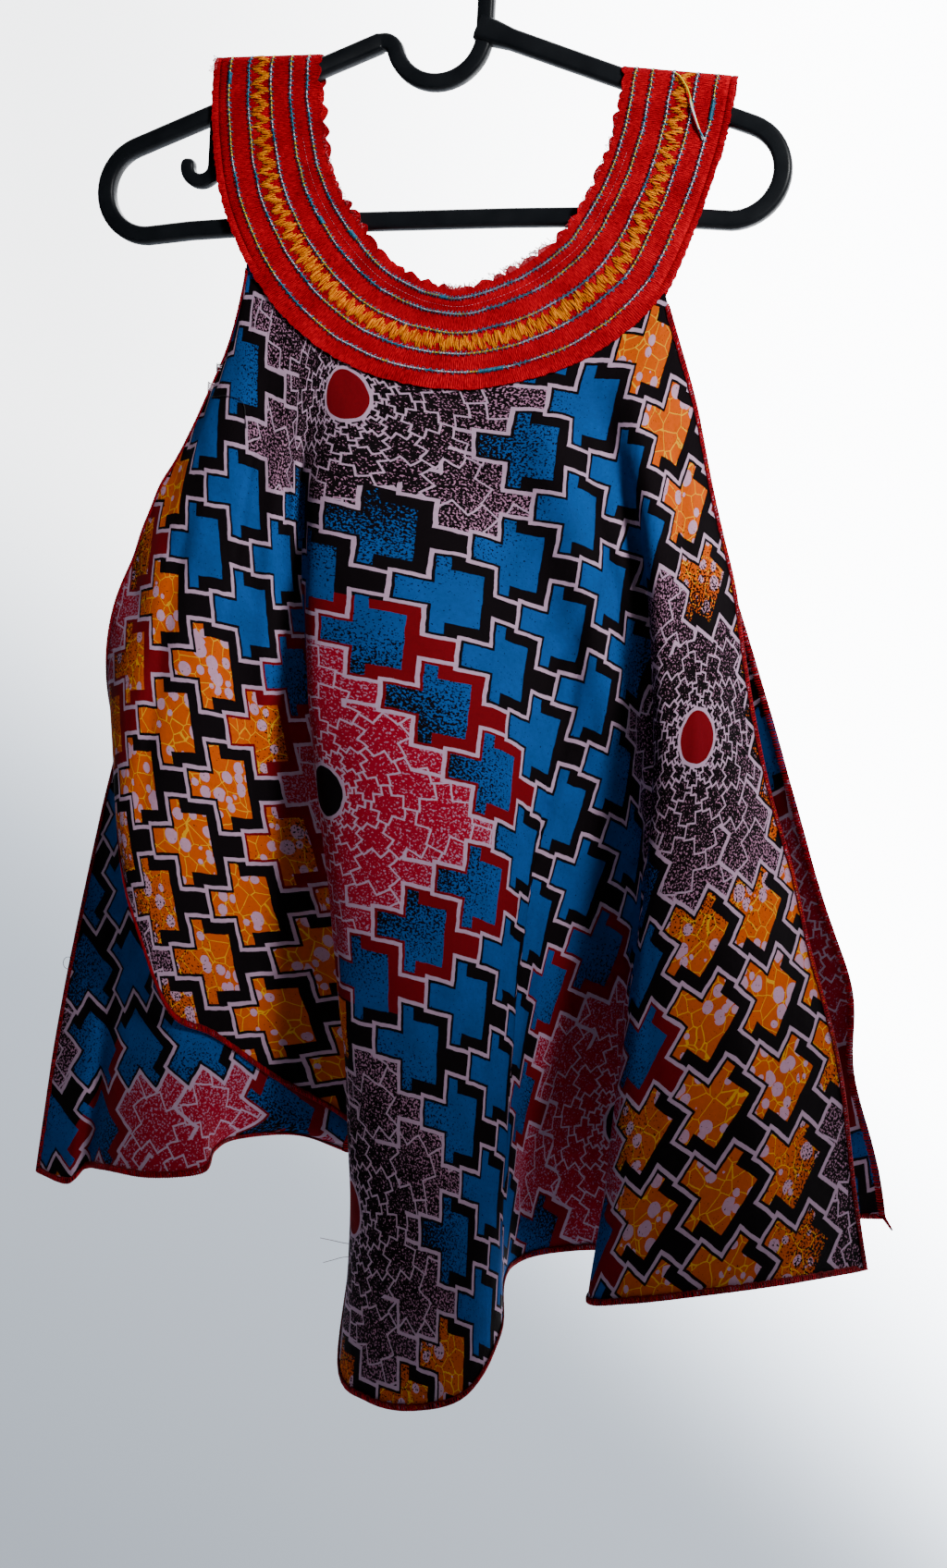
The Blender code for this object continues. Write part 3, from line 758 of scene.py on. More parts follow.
def paint_rosette(tree, x, y, away, odd, speckle):
    """A rosette's stipple, its lines and its heart."""
    ground = add_node(tree, "MixRGB", [odd, dye["black"], dye["crimson"]])
    speck_level = add_node(tree, "MapRange", [away, 30.0, 95.0, 0.65, 0.545])
    dots = add_node(tree, "Math", [speckle, speck_level], operation="GREATER_THAN")
    ground = add_node(tree, "MixRGB", [dots, ground, dye["pale"]])
    painted = add_node(tree, "MixRGB", [rosette_lines(tree, x, y, away), ground, dye["pale line"]])
    heart_rim = add_node(tree, "Math", [away, HEART_RIM], operation="LESS_THAN")
    painted = add_node(tree, "MixRGB", [heart_rim, painted, dye["pale line"]])
    heart = add_node(tree, "Math", [away, HEART_RADIUS], operation="LESS_THAN")
    heart_colour = add_node(tree, "MixRGB", [odd, dye["dark red"], dye["black"]])
    return add_node(tree, "MixRGB", [heart, painted, heart_colour])


print("a rosette is", ROSETTE_RADIUS * 2, "mm across, with", ROSETTE_LOZENGES, "lozenges round it")

# %% [markdown]
# Broad bands of lozenges are blue or orange. The blue is a little mottled, and the orange has
# pale bubbles and fine yellow crackle, as where wax has broken in the dye. Both are stippled
# with black near a rosette, and the shadows round a crimson one turn dark red.
# %% The lozenges' colours


def paint_lozenges(tree, place, middle, away, speckle):
    """Blue or orange ground, stippled near a rosette."""
    band = add_node(tree, "VectorMath", [middle, COLOUR_BAND_STEP], operation="DOT_PRODUCT")
    band = add_node(tree, "Math", [band.outputs["Value"], 1.0], operation="PINGPONG")
    is_orange = add_node(tree, "Math", [band, ORANGE_STARTS], operation="GREATER_THAN")
    mottle = add_node(tree, "TexNoise", {"Vector": place, "Scale": 0.05, "Detail": 4.0})
    blue = add_node(tree, "MixRGB", [mottle, dye["deep blue"], dye["blue"]])
    bubbles = add_node(tree, "TexVoronoi", {"Vector": place, "Scale": 0.105, "Randomness": 0.9})
    size = add_node(tree, "SeparateXYZ", [bubbles.outputs["Color"]])
    size = add_node(tree, "Math", [size, 0.36, 0.18], operation="MULTIPLY_ADD")
    in_bubble = add_node(tree, "Math", [bubbles.outputs["Distance"], size], operation="LESS_THAN")
    crackle = add_node(tree, "TexVoronoi", {"Vector": place, "Scale": 0.1}, feature="DISTANCE_TO_EDGE")
    in_crack = add_node(tree, "Math", [crackle, CRACK_HALF], operation="LESS_THAN")
    orange = add_node(tree, "MixRGB", [in_crack, dye["orange"], dye["yellow"]])
    orange = add_node(tree, "MixRGB", [in_bubble, orange, dye["bubble"]])
    ground = add_node(tree, "MixRGB", [is_orange, blue, orange])
    far, near = ROSETTE_RADIUS + STIPPLE_OUTSIDE, ROSETTE_RADIUS - STIPPLE_INSIDE
    closeness = add_node(tree, "MapRange", [away, far, near, 0.28, 0.62])
    stippled = add_node(tree, "Math", [speckle, closeness], operation="LESS_THAN")
    return add_node(tree, "MixRGB", [stippled, ground, dye["black"]])


def shadow_colour(tree, cell_away, odd):
    """Black, or dark red round a crimson rosette."""
    near = add_node(tree, "Math", [cell_away, ROSETTE_RADIUS + DARK_RED_OUTSIDE], operation="LESS_THAN")
    near = add_node(tree, "Math", [near, odd], operation="MULTIPLY")
    return add_node(tree, "MixRGB", [near, dye["black"], dye["dark red"]])


print("stipple reaches", STIPPLE_OUTSIDE, "mm beyond a rosette")

# %% [markdown]
# Put together, the place on the cut cloth is turned and shifted for each panel and wobbles a
# little, as hand-laid blocks do. Cotton is matt, with hardly any shine, and its surface has
# soft crumples. The weave is drawn at 0.9 mm, coarser than real thread, so that it shows.
# %% The printed cotton itself


def make_print(name, turn, shift):
    """Printed cotton. Turn, and shift in millimetres, place the print on the cut cloth."""
    material, tree, shader = new_material(name, 0.85, Specular_IOR_Level=0.05)
    uv = add_node(tree, "UVMap", uv_map="flat")
    turned = (0, 0, math.radians(turn))
    place = add_node(tree, "Mapping", {0: uv, 1: (*shift, 0), 2: turned, 3: (1000,) * 3})
    wobble = add_node(tree, "TexNoise", {"Vector": place, "Scale": 0.09, "Detail": 3.0})
    wobble = add_node(tree, "VectorMath", [wobble.outputs["Color"], (-0.5,) * 3], operation="ADD")
    wobble = add_node(tree, "VectorMath", [wobble, (2.2,) * 3], operation="MULTIPLY")
    place = add_node(tree, "VectorMath", [place, wobble], operation="ADD")
    speckle = {"Vector": place, "Scale": 0.75, "Detail": 1.0, "Roughness": 0.6}
    speckle = add_node(tree, "TexNoise", speckle)

    pale, black, rows = lozenge_lines(tree, place)
    middle = lozenge_middle(tree, rows)
    cell_x, cell_y, _ = rosette_place(tree, middle)
    cell_away = distance(tree, cell_x, cell_y)
    x, y, number = rosette_place(tree, place)
    away = distance(tree, x, y)
    odd = add_node(tree, "Math", [number, 1.0], operation="PINGPONG")
    ground = paint_lozenges(tree, place, middle, away, speckle)
    outside = add_node(tree, "MixRGB", [black, ground, shadow_colour(tree, cell_away, odd)])
    inside = paint_rosette(tree, x, y, away, odd, speckle)
    in_rosette = add_node(tree, "Math", [cell_away, ROSETTE_RADIUS], operation="LESS_THAN")
    painted = add_node(tree, "MixRGB", [in_rosette, outside, inside])

    outer_part = add_node(tree, "Math", [away, ROSETTE_RADIUS - LINES_INSIDE], operation="GREATER_THAN")
    not_inside = add_node(tree, "Math", [1.0, in_rosette], operation="SUBTRACT")
    shown = add_node(tree, "Math", [outer_part, not_inside], operation="MAXIMUM")
    pale = add_node(tree, "Math", [pale, shown], operation="MULTIPLY")
    painted = add_node(tree, "MixRGB", [pale, painted, dye["pale line"]])
    worn = add_node(tree, "TexNoise", {"Vector": place, "Scale": 0.4, "Detail": 5.0, "Roughness": 0.7})
    worn = add_node(tree, "MapRange", [worn, 0.25, 0.75, 0.86, 1.08])
    painted = add_node(tree, "VectorMath", [painted, worn], operation="MULTIPLY")
    tree.links.new(painted.outputs[0], shader.inputs["Base Color"])

    crumple = {"Vector": place, "Scale": 0.055, "Detail": 4.0, "Roughness": 0.55}
    crumple = add_node(tree, "TexNoise", crumple)
    weave = add_node(tree, "TexNoise", {"Vector": place, "Scale": 1.1, "Detail": 2.0})
    relief = add_node(tree, "Math", [weave, 0.05, crumple], operation="MULTIPLY_ADD")
    bump = add_node(tree, "Bump", {"Height": relief, "Strength": 0.35, "Distance": 0.003})
    tree.links.new(bump.outputs[0], shader.inputs["Normal"])
    return material


front_print = make_print("wax_printed_cotton_front", 8, (30, 20))
back_print = make_print("wax_printed_cotton_back", -18, (90, 40))
gore_print = make_print("wax_printed_cotton_let_in", 52, (-60, 150))
print("print nodes", len(front_print.node_tree.nodes))

# %% [markdown]
# ## The panels
#
# Each panel is a grid of points on its folds, lifted by its creases, with a first row tucked
# behind the yoke. It is a closed shell as thick as the cloth.
# %% Make the panels
COLUMNS_PER_FOLD = {"front": 7, "back": 12, "gore": 9}
PANEL_ROWS = 96
GORE_ROWS = 34
TUCK_LENGTH = 6.5


def report_cloth(name, grid, flat):
    """Prints a cloth's size and its areas, hanging and laid flat."""
    size = np.ptp(flat.reshape(-1, 2), axis=0).round()
    hanging, laid = round(cloth_area(grid), 3), round(flat_area(flat), 3)
    print(name, "flat", size, "area", hanging, "flat area", laid)


def make_panel(side, name, table, columns, creases, waves, seed, material):
    """Front or back: a creased grid, tucked behind the yoke. Gives the piece and the grid."""
    folds = np.linspace(0, len(table) - 1, (len(table) - 1) * columns + 1)
    downs = np.linspace(0, 1, PANEL_ROWS + 1)
    grid = wave_edges(body_points(side, table, folds, downs), folds, downs, waves)
    flat = flat_pattern(grid)
    lift = crease_lift(flat, folds, downs, creases) + ripple(flat, seed, 0.35)
    lift *= smooth_step(downs, 0.0, 0.08)[:, None]
    grid = grid - face_normals(grid) * side * lift[..., None]
    places = seam_places(along(column(table, "seam"), folds))
    tuck = yoke_points(side, places, BODY_TUCK, YOKE_CLOTH + SEAM_GAP)[None]
    tuck_flat = flat[:1] + unit(flat[:1] - flat[1:2]) * TUCK_LENGTH
    grid, flat = np.concatenate([tuck, grid]), np.concatenate([tuck_flat, flat])
    piece = add_shell(name, grid, flat, BODY_CLOTH, material, flip=side == BACK)
    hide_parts(name.replace("_cloth", "_panel"))
    report_cloth(name, grid, flat)
    return piece, grid


front_cloth, front_grid = make_panel(
    FRONT, "front_cloth", FRONT_FOLDS, COLUMNS_PER_FOLD["front"], FRONT_CREASES, FRONT_WAVES, 3, front_print
)
back_cloth, back_grid = make_panel(
    BACK, "back_cloth", BACK_FOLDS, COLUMNS_PER_FOLD["back"], BACK_CREASES, BACK_WAVES, 4, back_print
)


# %% The let-in piece


def make_gore():
    """The piece let in at the lower left, sewn behind the front's slanting edge."""
    count = (len(GORE_FOLDS) - 1) * COLUMNS_PER_FOLD["gore"] + 1
    grid = gore_points(np.linspace(0, len(GORE_FOLDS) - 1, count), np.linspace(0, 1, GORE_ROWS + 1))
    flat = hanging_pattern(grid)
    lift = ripple(flat, 7, 0.25) * smooth_step(np.arange(GORE_ROWS + 2), 2, 8)[:, None]
    grid = grid + face_normals(grid) * lift[..., None]
    piece = add_shell("let_in_cloth", grid, flat, BODY_CLOTH, gore_print)
    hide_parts("left_gore")
    report_cloth(piece.name, grid, flat)
    return piece, grid


gore_cloth, gore_grid = make_gore()
print("faces", [len(cloth.data.polygons) for cloth in (front_cloth, back_cloth, gore_cloth)])

# %% [markdown]
# ## The ribbed red yoke
#
# The band is a stiff red cloth woven with a fine rib, about 1 mm from rib to rib, that
# fans out round the neck. The shell's UV map runs along the band in millimetres, so the ribs
# in the material turn with it. A strip is turned in along each armhole and leaves a groove.
# %% Ribbed cloth
RIB_PITCH = 0.95
GROOVE_PLACE = 0.055
GROOVE_DEPTH = 1.1
GROOVE_HALF = 0.012
GROOVE_ROWS = (0, 0.02, 0.04, 0.055, 0.07, 0.09)
YOKE_ACROSS = GROOVE_ROWS + (0.16, 0.25, 0.34, 0.44, 0.55, 0.64, 0.73, 0.81, 0.885, 0.93, 0.965)


def make_ribbed_cloth():
    """Ribbed cotton: matt, a little sheen from its fibres, each rib its own shade of red, with painted shade
    darkening the valleys between the ribs.
    """
    material, tree, shader = new_material("ribbed_red_cotton", 0.85, Specular_IOR_Level=0.01)
    uv = add_node(tree, "UVMap", uv_map="flat")
    place = add_node(tree, "VectorMath", [uv, (1000,) * 3], operation="MULTIPLY")
    wobble = add_node(tree, "TexNoise", {"Vector": place, "Scale": 0.06, "Detail": 2.0})
    axes = add_node(tree, "SeparateXYZ", [place])
    bent = add_node(tree, "Math", [wobble, 3.0, axes.outputs[0]], operation="MULTIPLY_ADD")
    rib = add_node(tree, "Math", [bent, RIB_PITCH / 2], operation="PINGPONG")
    rib = add_node(tree, "Math", [rib, 2 / RIB_PITCH], operation="MULTIPLY")
    across = add_node(tree, "Mapping", {0: place, 3: (1.6, 0.3, 1)})
    streak = add_node(tree, "TexNoise", {"Vector": across, "Scale": 1.0, "Detail": 4.0, "Roughness": 0.7})
    shade = add_node(tree, "MapRange", [streak, 0.34, 0.62, 0.0, 1.0])
    red = add_node(tree, "MixRGB", [shade, colour("#750010"), colour("#D2001D")])
    patch = add_node(tree, "TexNoise", {"Vector": place, "Scale": 0.05, "Detail": 2.0})
    patch = add_node(tree, "MapRange", [patch, 0.3, 0.7, 0.66, 1.12])
    red = add_node(tree, "VectorMath", [red, patch], operation="MULTIPLY")
    # Painted shade: the red is darkened in the valley between each pair of ribs.
    valley = add_node(tree, "MapRange", [rib, 0.0, 0.5, 0.6, 1.06])
    red = add_node(tree, "VectorMath", [red, valley], operation="MULTIPLY")
    tree.links.new(red.outputs[0], shader.inputs["Base Color"])
    relief = add_node(tree, "Math", [streak, 2.2, rib], operation="MULTIPLY_ADD")
    bump = add_node(tree, "Bump", {"Height": relief, "Strength": 0.6, "Distance": 0.0006})
    tree.links.new(bump.outputs[0], shader.inputs["Normal"])
    return material


ribbed_cloth = make_ribbed_cloth()
print("ribs", RIB_PITCH, "mm apart,", round(YOKE_RUN[-1] / RIB_PITCH), "round the band")


# %% The band
def band_places(step):
    """Places along the band so many millimetres apart, closer where it rounds over."""
    places = place_at(np.arange(0, YOKE_RUN[-1], step))
    ends = np.array([0.0, 0.002, 0.008, 0.02, 0.04, 0.07, 0.11, 0.16])
    return np.unique(np.concatenate([places[places > 0.2], ends, LAST_RIB - ends]))


def on_straps(places):
    """1 on the straps, 0 round the bottom of the band."""
    return 1 - smooth_step(places, 3.6, 4.8) + smooth_step(places, 12.2, 13.4)


def make_yoke(side, word):
    """One half of the band, with its groove along the armholes."""
    draw = np.random.default_rng(20 + side)
    places = band_places(1.4)
    across = np.repeat(np.array(YOKE_ACROSS)[:, None], len(places), axis=1)
    from_end = np.minimum(places, LAST_RIB - places)
    across[0] += draw.uniform(-0.010, 0.004, len(places)) * smooth_step(from_end, 0, 0.3)
    groove = np.exp(-(((across - GROOVE_PLACE) / GROOVE_HALF) ** 2)) * on_straps(places)[None] * GROOVE_DEPTH
    grid = yoke_points(side, places[None], across, groove)
    run = run_at(places)
    flat = np.stack([np.broadcast_to(run, across.shape), across * BAND_WIDTH], axis=-1)
    grid, flat = grid[::-1], flat[::-1]
    name = word + "_yoke_cloth"
    piece = add_shell(name, grid, flat, YOKE_CLOTH, ribbed_cloth, flip=side == BACK, keep_side=side)
    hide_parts(word + "_yoke")
    print(piece.name, "area", round(cloth_area(grid), 4))
    return piece


front_yoke = make_yoke(FRONT, "front")
back_yoke = make_yoke(BACK, "back")

# %% [markdown]
# ## The scalloped neck edge
#
# Inside the innermost cord the cloth ends in a soft scalloped edge, cut by hand, so the lobes
# differ. A few threads have come loose from it.
# %% Scallops
LOBE_PITCH = 10.4
LOBE_ROUNDNESS = 0.7
EDGE_STARTS = 0.93
EDGE_CREST = 1.028
EDGE_NOTCH = 0.965
EDGE_CLOTH = 1.0


def make_edging(side, word):
    """The scalloped edge of one half of the band, uneven and a little curled."""
    draw = np.random.default_rng(30 + side)
    places = band_places(0.8)
    run = run_at(places)
    edge_run = lengths_along(yoke_points(side, places, 1.0))
    bent = edge_run + np.interp(run, np.linspace(0, run[-1], 40), draw.uniform(-3.2, 3.2, 40))
    lobes = np.abs(np.sin(bent / LOBE_PITCH * math.pi)) ** LOBE_ROUNDNESS
    size = np.interp(run, np.linspace(0, run[-1], 60), draw.uniform(0.3, 1.1, 60))
    crest = EDGE_NOTCH + (EDGE_CREST - EDGE_NOTCH) * lobes * size
    shares = np.linspace(0, 1, 5)[::-1, None]
    across = EDGE_STARTS + (crest[None] - EDGE_STARTS) * shares
    curl = 0.5 * np.sin(run / 17.0)[None] * shares**2
    grid = yoke_points(side, places[None], across, 0.2 - curl)
    flat = np.stack([np.broadcast_to(run, across.shape), across * BAND_WIDTH], axis=-1)
    name = word + "_scallops"
    piece = add_shell(name, grid, flat, EDGE_CLOTH, ribbed_cloth, flip=side == BACK, keep_side=side)
    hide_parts(word + "_neck_edging")
    return piece


edgings = [make_edging(side, word) for side, word in SIDES]
print("neck edges", [edging.name for edging in edgings])

# %% [markdown]
# ## Thread
#
# The sewing threads share one kind of material: dyed thread, matt or with a little shine from its
# twist. A number kept on each strand picks its shade, so that no two look quite the same.
# %% Thread and frays


def make_thread(name, dark, light, roughness=0.6, **sockets):
    """Sewing thread: dyed, with a little shine from its twist. Tone picks each strand's shade."""
    material, tree, shader = new_material(name, roughness, **sockets)
    tone = add_node(tree, "Attribute", attribute_name="tone")
    dyed = add_node(tree, "MixRGB", [tone.outputs["Fac"], colour(dark), colour(light)])
    tree.links.new(dyed.outputs[0], shader.inputs["Base Color"])
    return material


frayed_thread = make_thread("frayed_red_and_undyed_cotton", "#A80818", "#D85C6A", 0.85)
pale_thread = make_thread("undyed_cotton_thread", "#84303C", "#CC8E98", 0.8)
Fray = namedtuple("Fray", "side start end across count length")
FRAYS = [
    Fray(FRONT, 8.3, 9.8, 1.0, 60, 3.6),
    Fray(FRONT, 10.2, 12.3, 1.0, 130, 4.6),
    Fray(FRONT, 2.0, 4.6, 1.0, 70, 3.2),
    Fray(FRONT, 0.05, 0.4, 0.0, 16, 4.5),
    Fray(FRONT, 12.3, 16.0, 1.0, 60, 2.6),
    Fray(BACK, 8.0, 10.0, 1.0, 30, 5.0),
    Fray(BACK, 12.5, 15.0, 1.0, 30, 4.0),
]


def make_frays():
    """Short ends that stand out from the edges, each with its own bend."""
    draw = np.random.default_rng(8)
    lines, ups = [], []
    for fray in FRAYS:
        places = draw.uniform(fray.start, fray.end, fray.count)
        start, out, way, inward = yoke_frame(fray.side, places, fray.across)
        away = inward if fray.across > 0.5 else -inward
        length = draw.uniform(0.35, 1.0, (fray.count, 1)) * fray.length
        bend, lift = draw.normal(0, 0.9, (fray.count, 1)), draw.uniform(-0.2, 0.6, (fray.count, 1))
        steps = []
        for t in np.linspace(0, 1, 7):
            aside = way * bend * math.sin(t * 2.6)
            offset = away * math.sin(t * 1.9) + aside * t + out * lift * t
            steps.append(start - away * 2 + offset * length)
        lines.append(np.stack(steps, axis=1))
        ups.append(out)
    lines, ups = np.concatenate(lines), np.concatenate(ups)[:, None]
    tone = draw.uniform(0, 1, len(lines)) ** 1.6
    return add_strands("frayed_threads", lines, ups, 0.2, 0.2, frayed_thread, 3, tone)


frays = make_frays()
print("frayed threads", len(frays.data.polygons), "faces")

# %% [markdown]
# ## Couched cords
#
# Five rows of tinsel cord lie along the band. The cord is laid on the cloth and held by small
# slanting stitches of blue thread, which is called couching. The tinsel changes from silver
# to yellow and blue as it runs. The stitches are about one and a half millimetres apart.
# %% Cords
CORD_SHARES = (0.16, 0.34, 0.55, 0.73, 0.885)
CORD_HALF = 0.42
CORD_LIFT = 0.35
COUCH_PITCH = 1.45
COUCH_REACH = 1.45
COUCH_SLANT = 0.75
OVER_CORD = ((-1.0, 0.05), (-0.55, 0.95), (0.0, 1.25), (0.55, 0.95), (1.0, 0.05))


def make_tinsel():
    """Tinsel cord: metallised film wound round a core, silver, yellow or blue in short stretches, with
    painted shade between the turns of its twist.
    """
    material, tree, shader = new_material("tinsel_cord", 0.3, Metallic=0.1)
    uv = add_node(tree, "UVMap", uv_map="flat")
    tone = add_node(tree, "Attribute", attribute_name="tone")
    axes = add_node(tree, "SeparateXYZ", [uv])
    run = add_node(tree, "Math", [axes.outputs[0], 1000.0], operation="MULTIPLY")
    row = add_node(tree, "Math", [tone.outputs["Fac"], 90.0], operation="MULTIPLY")
    place = add_node(tree, "CombineXYZ", [run, row])
    stretch = add_node(tree, "TexNoise", {"Vector": place, "Scale": 0.03, "Detail": 1.0})
    is_yellow = add_node(tree, "Math", [stretch, 0.53], operation="GREATER_THAN")
    is_blue = add_node(tree, "Math", [stretch, 0.41], operation="LESS_THAN")
    tint = add_node(tree, "MixRGB", [is_yellow, colour("#E6EAF0"), colour("#F4DC02")])
    tint = add_node(tree, "MixRGB", [is_blue, tint, colour("#0C86A8")])
    # Painted shade: the tint darkens towards each turn of the wound film, every 0.9 mm.
    twist = add_node(tree, "Math", [run, 0.45], operation="PINGPONG")
    twist = add_node(tree, "MapRange", [twist, 0.0, 0.3, 0.6, 1.0])
    tint = add_node(tree, "VectorMath", [tint, twist], operation="MULTIPLY")
    tree.links.new(tint.outputs[0], shader.inputs["Base Color"])
    return material


tinsel = make_tinsel()
blue_thread = make_thread("blue_couching_thread", "#0C1836", "#1F7A9E", 0.5)
print("tinsel nodes", len(tinsel.node_tree.nodes))


# %% Laying the cords
def make_cords(side, word):
    """The five cords on one half of the band, and the stitches over them."""
    draw = np.random.default_rng(40 + side)
    places = band_places(1.6)[4:-4]
    cores, ticks, tick_out = [], [], []
    for share in CORD_SHARES:
        run = run_at(places)
        sway = np.interp(run, np.linspace(0, run[-1], 50), draw.uniform(-0.006, 0.006, 50))
        here, out, _, _ = yoke_frame(side, places, share + sway)
        cores.append(here + out * CORD_LIFT)
        spots = np.arange(run[3], run[-3], COUCH_PITCH)
        spots = place_at(spots + draw.uniform(-0.3, 0.3, len(spots)))
        here, out, way, inward = yoke_frame(side, spots, share + np.interp(spots, places, sway))
        slant = np.where(np.arange(len(spots)) % 2, COUCH_SLANT, -COUCH_SLANT)[:, None]
        slant = slant + draw.uniform(-0.3, 0.3, (len(spots), 1))
        reach = draw.uniform(0.8, 1.25, (len(spots), 1)) * COUCH_REACH
        steps = []
        for t, height in OVER_CORD:
            steps.append(here + inward * t * reach + way * t * slant + out * height)
        ticks.append(np.stack(steps, axis=1))
        tick_out.append(out)
    up, tone = [side * np.array([0, 1.0, 0])], np.arange(5) / 5 + 0.1 * side
    core = add_strands(word + "_cords", cores, up, CORD_HALF, 0.5, tinsel, 6, tone)
    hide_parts(*(f"{word}_cord_{number}" for number in range(1, 6)))
    lines, out = np.concatenate(ticks), np.concatenate(tick_out)[:, None]
    shades = draw.uniform(0, 1, len(lines))
    couching = add_strands(word + "_couching", lines, out, 0.25, 0.2, blue_thread, 4, shades**1.4)
    return core, couching


cords = [make_cords(side, word) for side, word in SIDES]
print("couching stitches", sum(len(pair[1].data.vertices) // 20 for pair in cords))

# %% [markdown]
# ## The gold zigzag
#
# Between the second and third cords runs a band of gold thread. Its strands lie nearly straight
# across the band and swing to its inner and outer side by turns, so that their ends draw the
# zigzag. No two strands are the same length, and the red cloth shows between them. The pairs
# of sizes below are for the bottom of the band and for its straps.
# %% Zigzag
GOLD_PITCH = 0.42
GOLD_MIDDLE = 0.445
GOLD_HALF = (4.3, 3.5)
GOLD_SWING = (2.3, 3.1)
TOOTH = (3.6, 4.3)
GOLD_ARCH = ((0.0, 0.0), (0.15, 0.4), (0.5, 0.55), (0.85, 0.4), (1.0, 0.0))
gold_thread = make_thread("gold_rayon_thread", "#B03C00", "#FF9A00", 0.6, Specular_IOR_Level=0.03)


def make_zigzag(side, word):
    """The gold strands on one half of the band."""
    draw = np.random.default_rng(50 + side)
    turns, run = [1.5], 1.5
    while run < YOKE_RUN[-1] - 4:
        run += np.interp(on_straps(place_at(run)), (0, 1), TOOTH) * draw.uniform(0.75, 1.25)
        turns.append(run)
    count = int((turns[-1] - turns[0]) / GOLD_PITCH)
    run = np.linspace(turns[0], turns[-1], count) + draw.uniform(-1.2, 1.2, count) * GOLD_PITCH
    tips = np.resize([-1.0, 1.0], len(turns)) * draw.uniform(0.7, 1.25, len(turns))
    strap = on_straps(place_at(run))
    swing = np.interp(run, turns, tips) * np.interp(strap, (0, 1), GOLD_SWING)
    reach = np.interp(strap, (0, 1), GOLD_HALF) * draw.uniform(0.5, 1.15, (2, count))
    lean = np.resize([-0.3, 0.3], count) + draw.normal(0, 0.3, count)
    lift = draw.uniform(0.0, 0.3, count)
    steps = []
    for t, height in GOLD_ARCH:
        across = GOLD_MIDDLE + (swing - reach[0] * (1 - t) + reach[1] * t) / BAND_WIDTH
        here, out, _, _ = yoke_frame(side, place_at(run + 2 * lean * (t - 0.5)), across)
        steps.append(here + out * (height + lift)[:, None])
    tone = draw.uniform(0, 1, count) ** 0.6
    lines = np.stack(steps, axis=1)
    return add_strands(word + "_gold_zigzag", lines, out[:, None], 0.25, 0.22, gold_thread, 4, tone)


zigzags = [make_zigzag(side, word) for side, word in SIDES]
print("gold stitches", len(zigzags[0].data.vertices) // 20, "a side")

# %% [markdown]
# ## Small sewing on the yoke
#
# A fine pale thread runs in running stitch between the last two cords, dotted because half of
# it is behind the cloth. One cord has come loose at the right shoulder, and short thick
# patches of blue thread show where a cord was started again.
# %% Running stitch, loose cord and patches
TOWARDS_VIEWER = (0, -1.0, 0)
DOT_SHARE = 0.805
DOTS_START = 2.0
DOTS_END = 15.0
DOT_PITCH = 2.4
Patch = namedtuple("Patch", "side place share length")
BLUE_PATCHES = [
    Patch(FRONT, 0.55, 0.16, 7),
    Patch(FRONT, 9.6, 0.16, 12),
    Patch(FRONT, 4.6, 0.885, 8),
    Patch(FRONT, 8.3, 0.885, 7),
    Patch(FRONT, 3.9, 0.73, 6),
    Patch(FRONT, 16.3, 0.16, 11),
    Patch(BACK, 7.0, 0.16, 9),
    Patch(BACK, 12.0, 0.73, 8),
]
LooseKnot = namedtuple("LooseKnot", "place share height")
LOOSE_CORD = [
    LooseKnot(16.9, 0.55, 0.8),
    LooseKnot(16.78, 0.47, 2.0),
    LooseKnot(16.58, 0.39, 2.2),
    LooseKnot(16.2, 0.31, 2.0),
    LooseKnot(15.7, 0.18, 0.9),
]
LOOSE_LOOP = [
    LooseKnot(16.5, 0.37, 1.8),
    LooseKnot(16.3, 0.34, 2.6),
    LooseKnot(16.1, 0.29, 2.8),
    LooseKnot(15.9, 0.235, 2.2),
    LooseKnot(15.7, 0.16, 0.9),
]
PATCH_ARCH = ((-1.1, 0.0), (-0.6, 0.95), (0, 1.3), (0.6, 0.95), (1.1, 0.0))


def make_running_stitch():
    """Short pale dots in a row."""
    draw = np.random.default_rng(61)
    run = np.arange(run_at(DOTS_START), run_at(DOTS_END), DOT_PITCH)
    steps = []
    for t, height in ((-1, 0.0), (0, 0.35), (1, 0.0)):
        here, out, _, _ = yoke_frame(FRONT, place_at(run + t * 0.6), DOT_SHARE)
        steps.append(here + out * height)
    lines = np.stack(steps, axis=1)
    tone = draw.uniform(0, 1, len(run))
    return add_strands("running_stitch", lines, out[:, None], 0.14, 0.14, pale_thread, 4, tone)


def make_patches():
    """Close stitches of blue thread side by side over a cord."""
    draw = np.random.default_rng(62)
    lines, ups = [], []
    for patch in BLUE_PATCHES:
        middle = run_at(patch.place)
        run = np.arange(middle - patch.length / 2, middle + patch.length / 2, 0.4)
        steps = []
        for t, height in PATCH_ARCH:
            share = patch.share + t / BAND_WIDTH
            here, out, _, _ = yoke_frame(patch.side, place_at(run + t * 0.5), share)
            steps.append(here + out * height)
        lines.append(np.stack(steps, axis=1))
        ups.append(out)
    lines, ups = np.concatenate(lines), np.concatenate(ups)[:, None]
    tone = draw.uniform(0.2, 1, len(lines))
    return add_strands("blue_thread_patches", lines, ups, 0.28, 0.25, blue_thread, 4, tone)


def make_loose_cords():
    """The end of a cord that has come loose, and a loop beside it."""
    lines = []
    for knots in (LOOSE_CORD, LOOSE_LOOP):
        places, shares, heights = np.array(knots).T
        t = np.linspace(0, len(knots) - 1, 33)
        here, out, _, _ = yoke_frame(FRONT, along(places, t), along(shares, t))
        lines.append(here + out * along(heights, t)[:, None])
    tone = np.array([0.35, 0.9])
    return add_strands("loose_cords", lines, [TOWARDS_VIEWER], 0.5, 0.4, tinsel, 6, tone)


running = make_running_stitch()
patches = make_patches()
loose = make_loose_cords()
print("small sewing", [len(piece.data.polygons) for piece in (running, patches, loose)])

